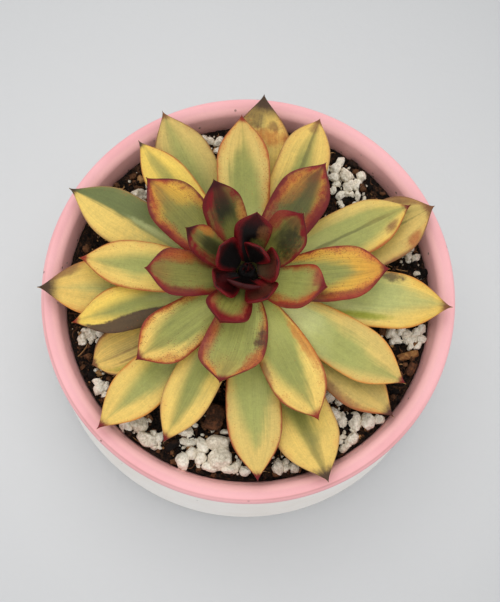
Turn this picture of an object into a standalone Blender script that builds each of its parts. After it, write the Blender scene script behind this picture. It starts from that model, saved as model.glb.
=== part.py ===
"""Potted echeveria: a rosette of thick pointed leaves in a low round pot of two pieces.

Sizes below are in millimetres and degrees, and the meshes are made in metres.
The origin is the centre of the flat underside of the pot, +Z is up, and -Y is the front.
"""

import math
import random
from typing import NamedTuple

import bmesh
import bpy
import numpy as np
from mathutils import Matrix, Vector, noise

MM = 0.001
GAP = 0.3

# Pot
RIM_HEIGHT = 55.0
LIP_RADIUS = 65.0
LIP_WIDTH = 3.6
LIP_DEPTH = 4.0
LIP_ROUND = 1.5
LIP_CHAMFER = 0.4
LIP_FLARE = 0.6
BODY_RADIUS = 63.2
BODY_EDGE = 1.0
BODY_FOOT_ROUND = 7.0
BODY_WALL = 2.6
BODY_FLOOR = 3.0
LINER_WALL = 1.6
LINER_FLOOR = 2.0
LINER_FOOT_RADIUS = 52.0
LINER_THROAT_RADIUS = 57.4
ROUND_STEPS = 56

# Potting mix
SOIL_DEPTH = 8.0
SOIL_TOP = RIM_HEIGHT - SOIL_DEPTH
SOIL_DIP = 1.3
SOIL_GRAIN = 7.0
STEM_HOLE_RADIUS = 6.1
STEM_HOLE_FLOOR = 38.0

# Crown: the stem leans back a little, and leaf bases climb it rank by rank
CROWN_FOOT = 52.0
CROWN_X, CROWN_Y = -0.5, 1.0
LEAN_X, LEAN_Y = -0.022, 0.165
RANK_RISE = 0.58
FIRST_LEAF = 50.2
STEM_BASE_RADIUS = 5.2
STEM_TAPER = 0.13
STEM_FOOT = 48.2
STEM_TOP = 72.5
STEM_SIDES = 12
STEM_RINGS = 5

# Leaf form
LEAF_SIDES = 10
LEAF_RINGS = 10
LEAF_BROADEST = 0.64
LEAF_BASE_SHARE = 0.34
LEAF_SWELL = 0.85
LEAF_CLOSING = 1.1
LEAF_THICKEST = 0.5
LEAF_BASE_THICKNESS = 0.45
LEAF_TIP_THICKNESS = 0.4
LEAF_CUP = 0.16
LEAF_CUP_FULL = 0.6
TOP_SHARE = 0.75
LAST_GREEN_RANK = 33

SEED = 7


class Leaf(NamedTuple):
    """One leaf: its place in the spiral and where its tip reaches."""

    rank: int      # order from the oldest leaf, which sits lowest
    turn: float    # direction of the midrib, anticlockwise from +X, seen from above
    reach: float   # from the crown to the tip, along that direction
    rise: float    # height of the tip above the lip of the pot
    width: float   # at the broadest place
    thick: float   # in the middle
    bend: float    # how far the midrib curls up between base and tip
    sweep: float   # how far the tip swings anticlockwise off the midrib's direction
    blunt: float = 2.2    # power of the curve that closes the tip: a higher one is blunter


# Each leaf stands about 137.5 degrees on from the one below it, give or take a few degrees.
LEAVES = (
    Leaf(0, 292, 65.0, 5, 20.5, 3.4, 8, 0.5),
    Leaf(1, 84, 64.0, 6, 19.5, 3.4, 14, 1.5),
    Leaf(2, 205, 53.5, -3, 15.5, 2.2, -8, 0.0, 4.5),
    Leaf(4, 117, 63.5, 6, 19.0, 3.4, 4, -2.0),
    Leaf(6, 21, 64.5, 6, 19.5, 3.2, 14, 4.0, 3.0),
    Leaf(7, 179, 65.2, 6.5, 18.5, 3.4, 17, 1.5),
    Leaf(8, 322, 60.5, 4, 16.5, 3.2, 10, -4.0),
    Leaf(10, 223, 64.5, 6, 16.0, 3.6, 10, 1.5),
    Leaf(11, 356, 64.0, 7, 18.5, 3.6, 10, -2.0),
    Leaf(12, 151.5, 63.8, 7, 17.0, 3.6, 10, -0.5),
    Leaf(13, 273, 61.5, 6, 17.0, 3.6, 8, 0.0),
    Leaf(14, 64, 58.5, 8, 16.5, 3.6, 10, 3.0, 3.0),
    Leaf(15, 188, 55.5, 8, 15.0, 3.4, 12, 5.0),
    Leaf(16, 329, 58.0, 9, 17.0, 3.8, 8, -2.0),
    Leaf(17, 127, 57.0, 9, 14.0, 3.8, 10, 0.0),
    Leaf(18, 242, 56.5, 8, 15.0, 3.8, 12, 1.0),
    Leaf(19, 27, 57.0, 9, 17.0, 3.8, 12, -1.0),
    Leaf(20, 171, 52.5, 11, 15.5, 3.8, 10, 1.5),
    Leaf(21, 297, 49.0, 11, 17.5, 4.0, 14, -0.5),
    Leaf(22, 92, 53.0, 12, 17.0, 4.0, 16, 0.0),
    Leaf(23, 216, 43.0, 13, 17.0, 3.8, 20, 1.0),
    Leaf(24, 3, 44.0, 14, 17.5, 4.0, 18, 0.5),
    Leaf(25, 135, 44.0, 16, 16.5, 4.0, 20, 0.5),
    Leaf(26, 264, 34.5, 16, 20.0, 3.8, 20, -5.0),
    Leaf(27, 56, 42.5, 19, 16.5, 4.0, 24, -0.5),
    Leaf(28, 180, 31.5, 19, 15.0, 3.6, 24, -1.0),
    Leaf(29, 341, 24.5, 21, 15.0, 3.4, 26, 3.0),
    Leaf(30, 111, 29.5, 24, 13.0, 3.4, 26, 0.0),
    Leaf(31, 243, 18.5, 21, 14.5, 3.2, 28, 0.0),
    Leaf(32, 40, 23.0, 27, 14.5, 3.2, 28, 1.5),
    Leaf(33, 150, 22.0, 26, 10.0, 3.0, 28, -0.5),
    Leaf(34, 302, 11.0, 21, 11.5, 2.4, 56, 0.0),
    Leaf(35, 84, 15.0, 30, 11.5, 2.8, 36, -1.0),
    Leaf(36, 212, 11.5, 22, 11.0, 2.4, 60, 0.0),
    Leaf(37, 5, 9.2, 25, 11.0, 2.4, 70, 0.0),
    Leaf(38, 149, 9.8, 26, 11.0, 2.2, 52, 0.0),
    Leaf(39, 257, 6.2, 23, 11.0, 2.2, 84, 0.0),
    Leaf(40, 53, 6.0, 25, 10.0, 2.2, 56, 0.0),
)


class Chip(NamedTuple):
    """One chip of bark: where it lies, how it is turned and how large it is."""

    name: str
    x: float
    y: float
    turn: float
    length: float
    width: float
    height: float
    colour: tuple


BARK = (
    Chip("bark_large", -10.4, -37.6, 75, 8.0, 5.4, 4.5, (0.13, 0.065, 0.03)),
    Chip("bark_dark", -23.7, -46.4, 40, 4.6, 2.2, 2.2, (0.06, 0.035, 0.028)),
    Chip("bark_tan", 50.4, -17.4, 15, 6.6, 2.4, 2.0, (0.42, 0.26, 0.12)),
    Chip("bark_brown", 51.3, -21.6, 62, 4.4, 2.6, 2.0, (0.11, 0.06, 0.05)),
    Chip("bark_back", 33.7, 45.2, 143, 3.2, 1.8, 2.6, (0.07, 0.045, 0.035)),
)

# Patches of perlite grains as (x, y, radius)
FINE_GRAIN = 1.6
PERLITE = {
    "front_left": ((-37.6, -40.2, 2.5), (-33.9, -39.5, 2.9), (-34.3, -37.0, 1.7), (-31.5, -44.4, 3.1),
                   (-27.9, -44.0, 1.6)),
    "front": ((-19.5, -41.9, 2.2), (-20.0, -45.1, 1.5), (-17.7, -45.4, 1.7), (-14.2, -46.1, 2.2),
              (-17.7, -48.7, 2.2), (-20.3, -51.4, 2.7), (-14.6, -50.2, 2.1), (-8.9, -45.9, 3.4),
              (-8.9, -50.7, 3.8), (-11.9, -53.0, 2.2), (-6.2, -53.6, 1.9), (-3.8, -53.0, 1.9),
              (-1.1, -54.2, 1.9)),
    "front_small": ((9.5, -53.0, 2.3), (12.2, -53.2, 1.5), (14.4, -53.2, 1.7)),
    "front_right": ((27.0, -36.1, 2.0), (29.6, -37.9, 2.0), (33.2, -38.5, 2.7), (37.4, -37.9, 2.8),
                    (41.0, -37.9, 1.8)),
    "low_right": ((32.8, -43.5, 2.2), (31.2, -45.4, 1.5), (29.7, -47.0, 1.7)),
    "mid_right": ((25.6, -29.6, 2.8), (23.6, -28.4, 1.7), (28.8, -31.8, 1.9)),
    "right": ((44.9, -9.6, 1.9), (46.4, -11.0, 1.5), (48.2, -9.2, 1.8), (50.3, -10.6, 1.8),
              (53.0, -10.0, 1.8), (54.8, -8.9, 1.6), (51.9, -12.4, 1.5), (54.6, -11.9, 1.6),
              (53.6, -14.1, 1.4)),
    "back_right": ((29.5, 46.0, 1.8), (28.0, 43.5, 2.0), (27.4, 40.8, 1.9), (31.3, 41.3, 2.7),
                   (32.4, 38.1, 2.0), (35.0, 38.0, 1.8), (36.2, 41.0, 1.9)),
    "back_left": ((-14.0, 53.2, 1.5), (-12.0, 52.8, 1.6), (-9.6, 52.2, 1.7), (-9.7, 49.4, 1.5)),
    "left_back": ((-35.2, 34.7, 2.3), (-33.8, 32.4, 1.5)),
    "left": ((-49.4, -10.5, 2.0), (-46.6, -10.7, 1.9), (-52.2, -12.2, 1.8)),
    "left_low": ((-46.9, -26.6, 1.9), (-46.9, -29.0, 1.9)),
}

# Bud: tiny upright leaves round a small core, on top of the stem
BUD_LEAVES = 4
BUD_HEIGHT = 6.0
BUD_CORE_RADIUS = 1.2
BUD_LEAF_WIDTH = 2.2
BUD_LEAF_THICKNESS = 1.2
SPIRAL_TURN = 137.5


def clear_scene():
    """Remove every object, so that the script gives the same model each run."""
    for thing in list(bpy.data.objects):
        bpy.data.objects.remove(thing, do_unlink=True)


def make_collection(name):
    group = bpy.data.collections.new(name)
    bpy.context.scene.collection.children.link(group)
    return group


def make_material(name, colour, roughness):
    material = bpy.data.materials.new(name)
    material.use_nodes = True
    shader = material.node_tree.nodes["Principled BSDF"]
    shader.inputs["Base Color"].default_value = (*colour, 1.0)
    shader.inputs["Roughness"].default_value = roughness
    shader.inputs["Metallic"].default_value = 0.0
    return material


def add_mesh_object(name, shape, material, group):
    """Turn a bmesh in millimetres into a smooth-shaded object in metres."""
    bmesh.ops.scale(shape, vec=(MM, MM, MM), verts=shape.verts)
    mesh = bpy.data.meshes.new(name)
    shape.to_mesh(mesh)
    shape.free()
    mesh.shade_smooth()
    mesh.set_sharp_from_angle(angle=math.radians(40))
    mesh.materials.append(material)
    thing = bpy.data.objects.new(name, mesh)
    group.objects.link(thing)
    return thing


def arc(centre, radius, start, end, steps):
    """Points of a round corner, from one angle to another, in the profile's plane."""
    angles = [math.radians(start + (end - start) * k / steps) for k in range(steps + 1)]
    return [(centre[0] + radius * math.cos(a), centre[1] + radius * math.sin(a)) for a in angles]


def turned(name, profile, material, group, steps=ROUND_STEPS):
    """A closed solid turned from a profile that starts and ends on the axis."""
    shape = bmesh.new()
    points = [shape.verts.new((x, 0, z)) for x, z in profile]
    for first, second in zip(points, points[1:]):
        shape.edges.new((first, second))
    thing = add_mesh_object(name, shape, material, group)
    screw = thing.modifiers.new("Turn", "SCREW")
    screw.steps = screw.render_steps = steps
    screw.use_merge_vertices = True
    screw.merge_threshold = 0.00001
    return thing


def pot_body(group):
    """The white outer pot: a flat foot, a rounded edge, a near straight wall and a flat rim."""
    top = RIM_HEIGHT - LIP_DEPTH - GAP
    inner = BODY_RADIUS - BODY_WALL
    foot = BODY_FOOT_ROUND
    inner_foot = LINER_FOOT_RADIUS + BODY_EDGE + GAP
    profile = [(0, BODY_FLOOR), (inner_foot, BODY_FLOOR), (inner, top)]
    profile += arc((BODY_RADIUS - BODY_EDGE, top - BODY_EDGE), BODY_EDGE, 90, 0, 3)
    profile += arc((BODY_RADIUS - foot, foot), foot, 0, -90, 6)
    profile += [(0, 0)]
    return turned("pot_body", profile, make_material("white_pot", (0.80, 0.76, 0.70), 0.45), group)


def liner_inside():
    """Inner wall of the liner, from the lip down to the floor: a flared throat, then a slow taper."""
    return [(LIP_RADIUS - LIP_WIDTH - LIP_FLARE, RIM_HEIGHT - LIP_ROUND - LIP_FLARE),
            (LINER_THROAT_RADIUS, SOIL_TOP - LIP_FLARE),
            (LINER_FOOT_RADIUS - LINER_WALL, BODY_FLOOR + GAP + LINER_FLOOR)]


def pot_liner(group):
    """The pink lining: a rounded lip that stands on the body's rim, and a cup inside it."""
    under = RIM_HEIGHT - LIP_DEPTH
    floor = BODY_FLOOR + GAP
    inner_edge = LIP_RADIUS - LIP_WIDTH
    wall_top = BODY_RADIUS - BODY_WALL - 2 * GAP
    profile = [(0, floor + LINER_FLOOR)]
    profile += list(reversed(liner_inside()))
    profile += arc((inner_edge + LIP_ROUND, RIM_HEIGHT - LIP_ROUND), LIP_ROUND, 155, 90, 3)
    profile += arc((LIP_RADIUS - LIP_ROUND, RIM_HEIGHT - LIP_ROUND), LIP_ROUND, 90, 0, 4)
    profile += [(LIP_RADIUS, under + LIP_CHAMFER), (LIP_RADIUS - LIP_CHAMFER, under), (wall_top, under)]
    profile += [(LINER_FOOT_RADIUS, floor + LINER_FLOOR), (LINER_FOOT_RADIUS - LINER_FLOOR, floor)]
    profile += [(0, floor)]
    return turned("pot_liner", profile, make_material("pink_pot", (0.90, 0.46, 0.47), 0.5), group)


def potting_mix(group):
    """Soil that fills the liner, with shallow dips in its top and a plain hole for the stem."""
    wall = liner_inside()
    radii = [14, 22, 30, 37, 43, 48, 52.5]
    edge = LINER_THROAT_RADIUS + 0.3
    profile = [(0, STEM_HOLE_FLOOR), (STEM_HOLE_RADIUS, STEM_HOLE_FLOOR), (STEM_HOLE_RADIUS, SOIL_TOP)]
    profile += [(radius, SOIL_TOP) for radius in radii]
    profile += [(edge - GAP, SOIL_TOP), (wall[1][0] - GAP, wall[1][1] - GAP)]
    profile += [(wall[2][0] - GAP, wall[2][1] + GAP), (0, wall[2][1] + GAP)]
    turned_soil = turned("potting_mix", profile, make_material("soil", (0.035, 0.025, 0.018), 0.95), group)
    soil = bake(turned_soil)
    x, y = crown_axis(STEM_FOOT)
    for vertex in soil.data.vertices:
        radius = math.hypot(vertex.co.x, vertex.co.y) / MM
        on_top = vertex.co.z > (SOIL_TOP - 0.1) * MM
        if on_top and radii[0] <= round(radius) <= radii[-2]:
            lumps = noise.noise(Vector((vertex.co.x, vertex.co.y, 0)) / (SOIL_GRAIN * MM))
            vertex.co.z -= SOIL_DIP * MM * min(max(lumps, 0), 0.8)
        if radius < radii[0] - 1:
            vertex.co.x += x * MM
            vertex.co.y += y * MM
    return soil


def bake(thing):
    """Replace an object by one that holds its evaluated mesh, with no modifiers left."""
    bpy.context.view_layer.update()
    solid = thing.evaluated_get(bpy.context.evaluated_depsgraph_get())
    mesh = bpy.data.meshes.new_from_object(solid)
    name = thing.name
    group = thing.users_collection[0]
    bpy.data.objects.remove(thing, do_unlink=True)
    fresh = bpy.data.objects.new(name, mesh)
    group.objects.link(fresh)
    return fresh


def crown_axis(height):
    """Centre of the leaning stem at a height."""
    return CROWN_X + LEAN_X * (height - CROWN_FOOT), CROWN_Y + LEAN_Y * (height - CROWN_FOOT)


def stem_radius(height):
    return STEM_BASE_RADIUS - STEM_TAPER * (height - CROWN_FOOT)


def plant_stem(group):
    """A short tapered stem, rooted in the hole in the soil and leaning as the crown does."""
    heights = np.linspace(STEM_TOP, STEM_FOOT, STEM_RINGS)
    low = STEM_HOLE_FLOOR + GAP
    profile = [(0, STEM_TOP)] + [(stem_radius(height), height) for height in heights]
    profile += [(STEM_BASE_RADIUS, low), (0, low)]
    stem = bake(turned("plant_stem", profile, make_material("stem", (0.35, 0.30, 0.14), 0.7), group, STEM_SIDES))
    for vertex in stem.data.vertices:
        x, y = crown_axis(max(vertex.co.z / MM, STEM_FOOT))
        vertex.co.x += x * MM
        vertex.co.y += y * MM
    return stem


def half_width(leaf, along):
    """Half the width along a leaf: it swells to the broadest place, then runs to a point."""
    before = np.clip(along / LEAF_BROADEST, 0, 1)
    past = np.clip((along - LEAF_BROADEST) / (1 - LEAF_BROADEST), 0, 1)
    swell = LEAF_BASE_SHARE + (1 - LEAF_BASE_SHARE) * np.sin(np.pi / 2 * before ** LEAF_SWELL)
    close = (1 - past ** leaf.blunt) ** LEAF_CLOSING
    return leaf.width / 2 * np.where(along < LEAF_BROADEST, swell, close)


def half_thickness(leaf, along):
    """Half the thickness along a leaf: thin at the base, full half way out, thin again at the tip."""
    before = np.clip(along / LEAF_THICKEST, 0, 1)
    past = np.clip((along - LEAF_THICKEST) / (1 - LEAF_THICKEST), 0, 1)
    grow = LEAF_BASE_THICKNESS + (1 - LEAF_BASE_THICKNESS) * np.sin(np.pi / 2 * before)
    fade = 1 - (1 - LEAF_TIP_THICKNESS) * past ** 1.7
    return leaf.thick / 2 * np.where(along < LEAF_THICKEST, grow, fade)


def leaf_base(leaf):
    """Height of a leaf's base, and its distance from the middle of the stem."""
    height = FIRST_LEAF + RANK_RISE * leaf.rank
    return height, stem_radius(height) + 1.5 * GAP


def midrib(leaf, along):
    """Distance out, height above the base and slope of the midrib, which bends evenly.

    The chord runs from the base to the tip, and the arc through both has the leaf's bend.
    """
    height, start = leaf_base(leaf)
    run = leaf.reach - start
    climb = RIM_HEIGHT + leaf.rise - height
    half = math.radians(leaf.bend) / 2
    length = math.hypot(run, climb) * half / math.sin(half)
    first = math.atan2(climb, run) - half
    slope = first + 2 * half * along
    radius = length / (2 * half)
    out = radius * (np.sin(slope) - math.sin(first))
    up = radius * (math.cos(first) - np.cos(slope))
    return start + out, height + up, slope


def leaf_mesh(leaf):
    """A ball drawn out into a leaf.

    The ball's own height runs from base to tip, and its rings become lens-shaped sections:
    half the width times the cosine across, half the thickness times the sine up, on a middle
    surface that is raised towards both margins.
    """
    shape = bmesh.new()
    bmesh.ops.create_uvsphere(shape, u_segments=LEAF_SIDES, v_segments=LEAF_RINGS, radius=1.0)
    ball = np.array([vertex.co for vertex in shape.verts])
    ring = np.hypot(ball[:, 0], ball[:, 1])
    on_ring = ring > 1e-4
    across = np.where(on_ring, ball[:, 0] / np.maximum(ring, 1e-4), 0)
    above = np.where(on_ring, ball[:, 1] / np.maximum(ring, 1e-4), 0)
    along = (1 + ball[:, 2]) / 2
    width = half_width(leaf, along)
    thick = half_thickness(leaf, along) * np.where(above > 0, TOP_SHARE, 2 - TOP_SHARE)
    side = width * across
    cup = LEAF_CUP * np.clip(along / LEAF_CUP_FULL, 0, 1) ** 1.5
    lift = cup * width * np.abs(across) ** 1.7 + thick * np.sign(above) * np.abs(above) ** 1.15
    out, up, slope = midrib(leaf, along)
    out = out - lift * np.sin(slope)
    up = up + lift * np.cos(slope)
    side = side + leaf.sweep * along ** 2
    turn = math.radians(leaf.turn)
    base_x, base_y = crown_axis(leaf_base(leaf)[0])
    places = np.stack([base_x + out * math.cos(turn) - side * math.sin(turn),
                       base_y + out * math.sin(turn) + side * math.cos(turn), up], axis=1)
    for vertex, place in zip(shape.verts, places):
        vertex.co = place
    return shape


def fuse(name, pieces, material, group):
    """One closed body from shapes that overlap, by a Boolean union of the first with the rest."""
    rest = make_collection(name + "_pieces")
    things = [add_mesh_object(f"{name}_{k}", shape, material, rest) for k, shape in enumerate(pieces)]
    first = things[0]
    rest.objects.unlink(first)
    group.objects.link(first)
    if len(things) > 1:
        union = first.modifiers.new("Union", "BOOLEAN")
        union.operation = "UNION"
        union.operand_type = "COLLECTION"
        union.collection = rest
        union.solver = "EXACT"
    fused = bake(first)
    fused.name = fused.data.name = name
    for thing in things[1:]:
        bpy.data.objects.remove(thing, do_unlink=True)
    bpy.data.collections.remove(rest)
    return fused


def grain(x, y, radius, draw):
    """A lumpy grain with a flat underside that lies on the soil."""
    shape = bmesh.new()
    finer = 2 if radius > FINE_GRAIN else 1
    bmesh.ops.create_icosphere(shape, subdivisions=finer, radius=radius)
    stretch = draw.uniform(0.88, 1.12)
    turn = draw.uniform(0, math.pi)
    bmesh.ops.scale(shape, vec=(stretch, 1 / stretch, 0.85), verts=shape.verts)
    bmesh.ops.rotate(shape, matrix=Matrix.Rotation(turn, 3, "Z"), verts=shape.verts)
    seat = SOIL_TOP + GAP
    middle = seat + 0.5 * radius
    for vertex in shape.verts:
        vertex.co *= draw.uniform(0.9, 1.1)
        vertex.co.z = max(vertex.co.z + middle, seat)
        vertex.co.x += x
        vertex.co.y += y
    bmesh.ops.dissolve_degenerate(shape, dist=0.01, edges=shape.edges)
    return shape


def perlite(group):
    """White grains lying in patches, each patch one body of grains that touch."""
    white = make_material("perlite", (0.82, 0.79, 0.74), 0.9)
    draw = random.Random(SEED)
    for place, grains in PERLITE.items():
        fuse("perlite_" + place, [grain(*one, draw) for one in grains], white, group)


def bark_chip(chip, draw):
    """A split piece of bark: a block with uneven corners and softened edges."""
    shape = bmesh.new()
    bmesh.ops.create_cube(shape, size=1.0)
    bmesh.ops.scale(shape, vec=(chip.length, chip.width, chip.height), verts=shape.verts)
    for vertex in shape.verts:
        vertex.co.x *= draw.uniform(0.8, 1.15)
        vertex.co.y *= draw.uniform(0.75, 1.2)
        if vertex.co.z > 0:
            vertex.co.z *= draw.uniform(0.7, 1.1)
    bmesh.ops.bevel(shape, geom=shape.edges, offset=chip.height * 0.16, segments=1, affect="EDGES")
    bmesh.ops.rotate(shape, matrix=Matrix.Rotation(math.radians(chip.turn), 3, "Z"), verts=shape.verts)
    seat = SOIL_TOP + GAP
    low = min(vertex.co.z for vertex in shape.verts)
    bmesh.ops.translate(shape, vec=(chip.x, chip.y, seat - low), verts=shape.verts)
    return shape


def bark(group):
    """Chips of bark on the soil, each its own piece and its own brown."""
    draw = random.Random(SEED + 1)
    for chip in BARK:
        material = make_material(chip.name, chip.colour, 0.9)
        add_mesh_object(chip.name, bark_chip(chip, draw), material, group)


def heart_bud(group):
    """The growing point: tiny closed leaves fused round a small core."""
    foot = STEM_TOP + GAP
    x, y = crown_axis(foot)
    core = bmesh.new()
    bmesh.ops.create_cone(core, cap_ends=True, segments=8, radius1=BUD_CORE_RADIUS,
                          radius2=BUD_CORE_RADIUS / 4, depth=BUD_HEIGHT)
    bmesh.ops.translate(core, vec=(x, y, foot + BUD_HEIGHT / 2), verts=core.verts)
    pieces = [core]
    for number in range(BUD_LEAVES):
        height = BUD_HEIGHT * (0.75 + 0.1 * number)
        leaf = bmesh.new()
        bmesh.ops.create_uvsphere(leaf, u_segments=8, v_segments=6, radius=0.5)
        bmesh.ops.scale(leaf, vec=(BUD_LEAF_THICKNESS, BUD_LEAF_WIDTH, height), verts=leaf.verts)
        bmesh.ops.translate(leaf, vec=(BUD_CORE_RADIUS * 0.6, 0, height / 2), verts=leaf.verts)
        spin = Matrix.Rotation(math.radians(SPIRAL_TURN * number), 3, "Z")
        bmesh.ops.rotate(leaf, matrix=spin, verts=leaf.verts)
        bmesh.ops.translate(leaf, vec=(x, y, foot), verts=leaf.verts)
        pieces.append(leaf)
    fuse("heart_bud", pieces, make_material("bud", (0.05, 0.012, 0.015), 0.4), group)


def rosette(group):
    """Every leaf of the plant, oldest first, as its own solid."""
    skin = make_material("leaf", (0.55, 0.55, 0.16), 0.45)
    young = make_material("young_leaf", (0.18, 0.05, 0.04), 0.4)
    for number, leaf in enumerate(LEAVES, 1):
        material = young if leaf.rank > LAST_GREEN_RANK else skin
        add_mesh_object(f"leaf_{number:02d}", leaf_mesh(leaf), material, group)


def main():
    clear_scene()
    group = make_collection("potted_echeveria")
    pot_body(group)
    pot_liner(group)
    potting_mix(group)
    perlite(group)
    bark(group)
    plant_stem(group)
    rosette(group)
    heart_bud(group)


main()
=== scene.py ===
"""Potted echeveria, finished: leaves with their painted skin, a two-piece pot, soil, perlite and bark.

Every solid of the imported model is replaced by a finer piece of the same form.
Sizes in the tables are in millimetres and degrees, and the meshes are made in metres.
"""

import logging
import math
from dataclasses import dataclass, replace
from enum import Enum
from typing import ClassVar, Sequence, Union

import bpy
import numpy as np
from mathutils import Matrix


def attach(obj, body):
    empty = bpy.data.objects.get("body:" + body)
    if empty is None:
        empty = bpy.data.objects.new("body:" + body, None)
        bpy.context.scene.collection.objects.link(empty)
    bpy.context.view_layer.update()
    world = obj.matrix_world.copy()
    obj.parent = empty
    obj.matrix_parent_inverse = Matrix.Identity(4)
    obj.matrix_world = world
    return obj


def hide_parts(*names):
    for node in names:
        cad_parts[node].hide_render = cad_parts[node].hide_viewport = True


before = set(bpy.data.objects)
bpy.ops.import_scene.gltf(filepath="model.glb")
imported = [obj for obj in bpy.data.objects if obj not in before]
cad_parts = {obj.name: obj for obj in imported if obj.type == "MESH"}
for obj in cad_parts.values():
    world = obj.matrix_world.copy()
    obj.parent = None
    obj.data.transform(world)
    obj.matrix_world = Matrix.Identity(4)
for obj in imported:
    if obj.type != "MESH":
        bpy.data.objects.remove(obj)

LOG = logging.getLogger("echeveria")
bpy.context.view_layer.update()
MM = 0.001
BODY = "root"
FINE = "_fine"

# What the surface's own reflection adds to a colour, the least share of a dark colour that is
# kept when it is taken off, and the palest that anything is made.
SHEEN = 0.012
DARK_KEPT = 0.4
PALEST = 0.95

# A body is its points, and its triangles as rows of three point numbers.
Array = np.ndarray
Body = tuple[np.ndarray, np.ndarray]
Value = Union["Signal", float]


class Tint(Enum):
    """Colours as the eye reads them on the lit surface, as display values from 0 to 255."""

    LEMON = (238, 206, 96)
    BUTTER = (230, 198, 106)
    GOLD = (212, 166, 66)
    STRAW = (212, 186, 106)
    KHAKI = (188, 170, 98)
    LIME = (144, 152, 30)
    CELERY = (206, 210, 146)
    SAGE = (180, 184, 114)
    FERN = (162, 164, 92)
    GREEN = (147, 149, 80)
    OLIVE = (132, 129, 66)
    MOSS = (102, 102, 56)
    DARK_GREEN = (58, 56, 36)
    GREY_GREEN = (110, 118, 70)
    APRICOT = (212, 156, 80)
    ORANGE = (200, 122, 54)
    RUST = (170, 88, 46)
    RED = (144, 52, 38)
    ROSE = (146, 68, 54)
    CRIMSON = (116, 28, 36)
    WINE = (66, 16, 20)
    PLUM = (84, 50, 42)
    NIGHT = (18, 9, 8)
    TAN = (172, 130, 80)
    BROWN = (128, 84, 54)
    UMBER = (80, 61, 46)
    PINK = (244, 181, 184)
    PINK_DEEP = (235, 167, 170)
    # Painted light: the pink made paler for the inner wall.
    PINK_PAINTED_LIGHT = (252, 190, 188)
    # Soil dust on the pink wall, mixed with painted shade.
    DUST_AND_SHADE = (146, 98, 80)
    WHITE_CLAY = (246, 241, 236)
    WHITE_WARM = (236, 228, 220)
    PEARL = (252, 243, 226)
    PEARL_SHADE = (222, 209, 186)
    PEAT = (96, 69, 52)
    PEAT_DARK = (29, 20, 15)
    PEAT_RED = (120, 84, 60)
    FIBRE = (188, 144, 96)
    BARK_RED = (122, 78, 54)
    BARK_DARK = (66, 48, 38)
    FLOOR = (211, 212, 213)
    # Painted shade: the floor's colour further from the pot.
    FLOOR_PAINTED_SHADE = (190, 191, 192)
    SPECK = (150, 148, 142)

    @property
    def albedo(self) -> tuple[float, float, float, float]:
        """Share of light thrown back: the display curve undone, less the sheen that lies over it.

        Returns:
            Red, green, blue and an alpha of one.
        """
        shares = [channel / 255 for channel in self.value]
        linear = [c / 12.92 if c <= 0.04045 else ((c + 0.055) / 1.055) ** 2.4 for c in shares]
        return (*[min(max(c - SHEEN, c * DARK_KEPT), PALEST) for c in linear], 1.0)


@dataclass(frozen=True)
class Signal:
    """A value that runs through a material's nodes. Arithmetic on it adds the nodes for it."""

    tree: bpy.types.NodeTree
    socket: bpy.types.NodeSocket

    def feed(self, socket: bpy.types.NodeSocket) -> None:
        """Lead the value into a node's input."""
        self.tree.links.new(self.socket, socket)

    @staticmethod
    def supply(socket: bpy.types.NodeSocket, value: Value) -> None:
        """Lead a signal into a node's input, or set the input to a plain number.

        Args:
            socket: the input.
            value: what it gets.
        """
        if isinstance(value, Signal):
            value.feed(socket)
        else:
            socket.default_value = value

    def math(self, operation: str, *others: Value) -> "Signal":
        """Add one arithmetic node.

        Args:
            operation: the node's operation, such as ADD.
            others: the second operand, where there is one.

        Returns:
            The result.
        """
        node = self.tree.nodes.new("ShaderNodeMath")
        node.operation = operation
        self.feed(node.inputs[0])
        for place, other in enumerate(others, 1):
            self.supply(node.inputs[place], other)
        return Signal(self.tree, node.outputs[0])

    def __add__(self, other: Value) -> "Signal":
        """Sum."""
        return self.math("ADD", other)

    def __sub__(self, other: Value) -> "Signal":
        """Difference."""
        return self.math("SUBTRACT", other)

    def __mul__(self, other: Value) -> "Signal":
        """Product."""
        return self.math("MULTIPLY", other)

    def __abs__(self) -> "Signal":
        """Size without sign."""
        return self.math("ABSOLUTE")

    def at_most(self, other: Value) -> "Signal":
        """The smaller of two values."""
        return self.math("MINIMUM", other)

    def at_least(self, other: Value) -> "Signal":
        """The larger of two values."""
        return self.math("MAXIMUM", other)

    def rise(self, low: Value, high: Value, first: float = 0.0, last: float = 1.0) -> "Signal":
        """Smooth step from first, where the value is below low, to last, where it is above high.

        Args:
            low: value at which the step starts.
            high: value at which it ends.
            first: result before the step.
            last: result after it.

        Returns:
            The stepped value.
        """
        node = self.tree.nodes.new("ShaderNodeMapRange")
        node.interpolation_type = "SMOOTHSTEP"
        self.feed(node.inputs["Value"])
        for name, bound in (("From Min", low), ("From Max", high), ("To Min", first), ("To Max", last)):
            self.supply(node.inputs[name], bound)
        return Signal(self.tree, node.outputs["Result"])

    def fall(self, low: Value, high: Value) -> "Signal":
        """Smooth step down, from one below low to zero above high."""
        return self.rise(low, high, 1.0, 0.0)

    def mix(self, first: Union["Signal", Tint], second: Union["Signal", Tint]) -> "Signal":
        """Colour between two others, this value being the share of the second.

        Args:
            first: colour at zero.
            second: colour at one.

        Returns:
            The mixed colour.
        """
        node = self.tree.nodes.new("ShaderNodeMix")
        node.data_type = "RGBA"
        self.feed(node.inputs[0])
        for place, colour in ((6, first), (7, second)):
            self.supply(node.inputs[place], colour.albedo if isinstance(colour, Tint) else colour)
        return Signal(self.tree, node.outputs[2])

    def brighten(self, amount: "Signal") -> "Signal":
        """Make this colour lighter or darker.

        Args:
            amount: factor on each channel.

        Returns:
            The colour.
        """
        node = self.tree.nodes.new("ShaderNodeVectorMath")
        node.operation = "SCALE"
        self.feed(node.inputs[0])
        amount.feed(node.inputs["Scale"])
        return Signal(self.tree, node.outputs[0])


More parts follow.
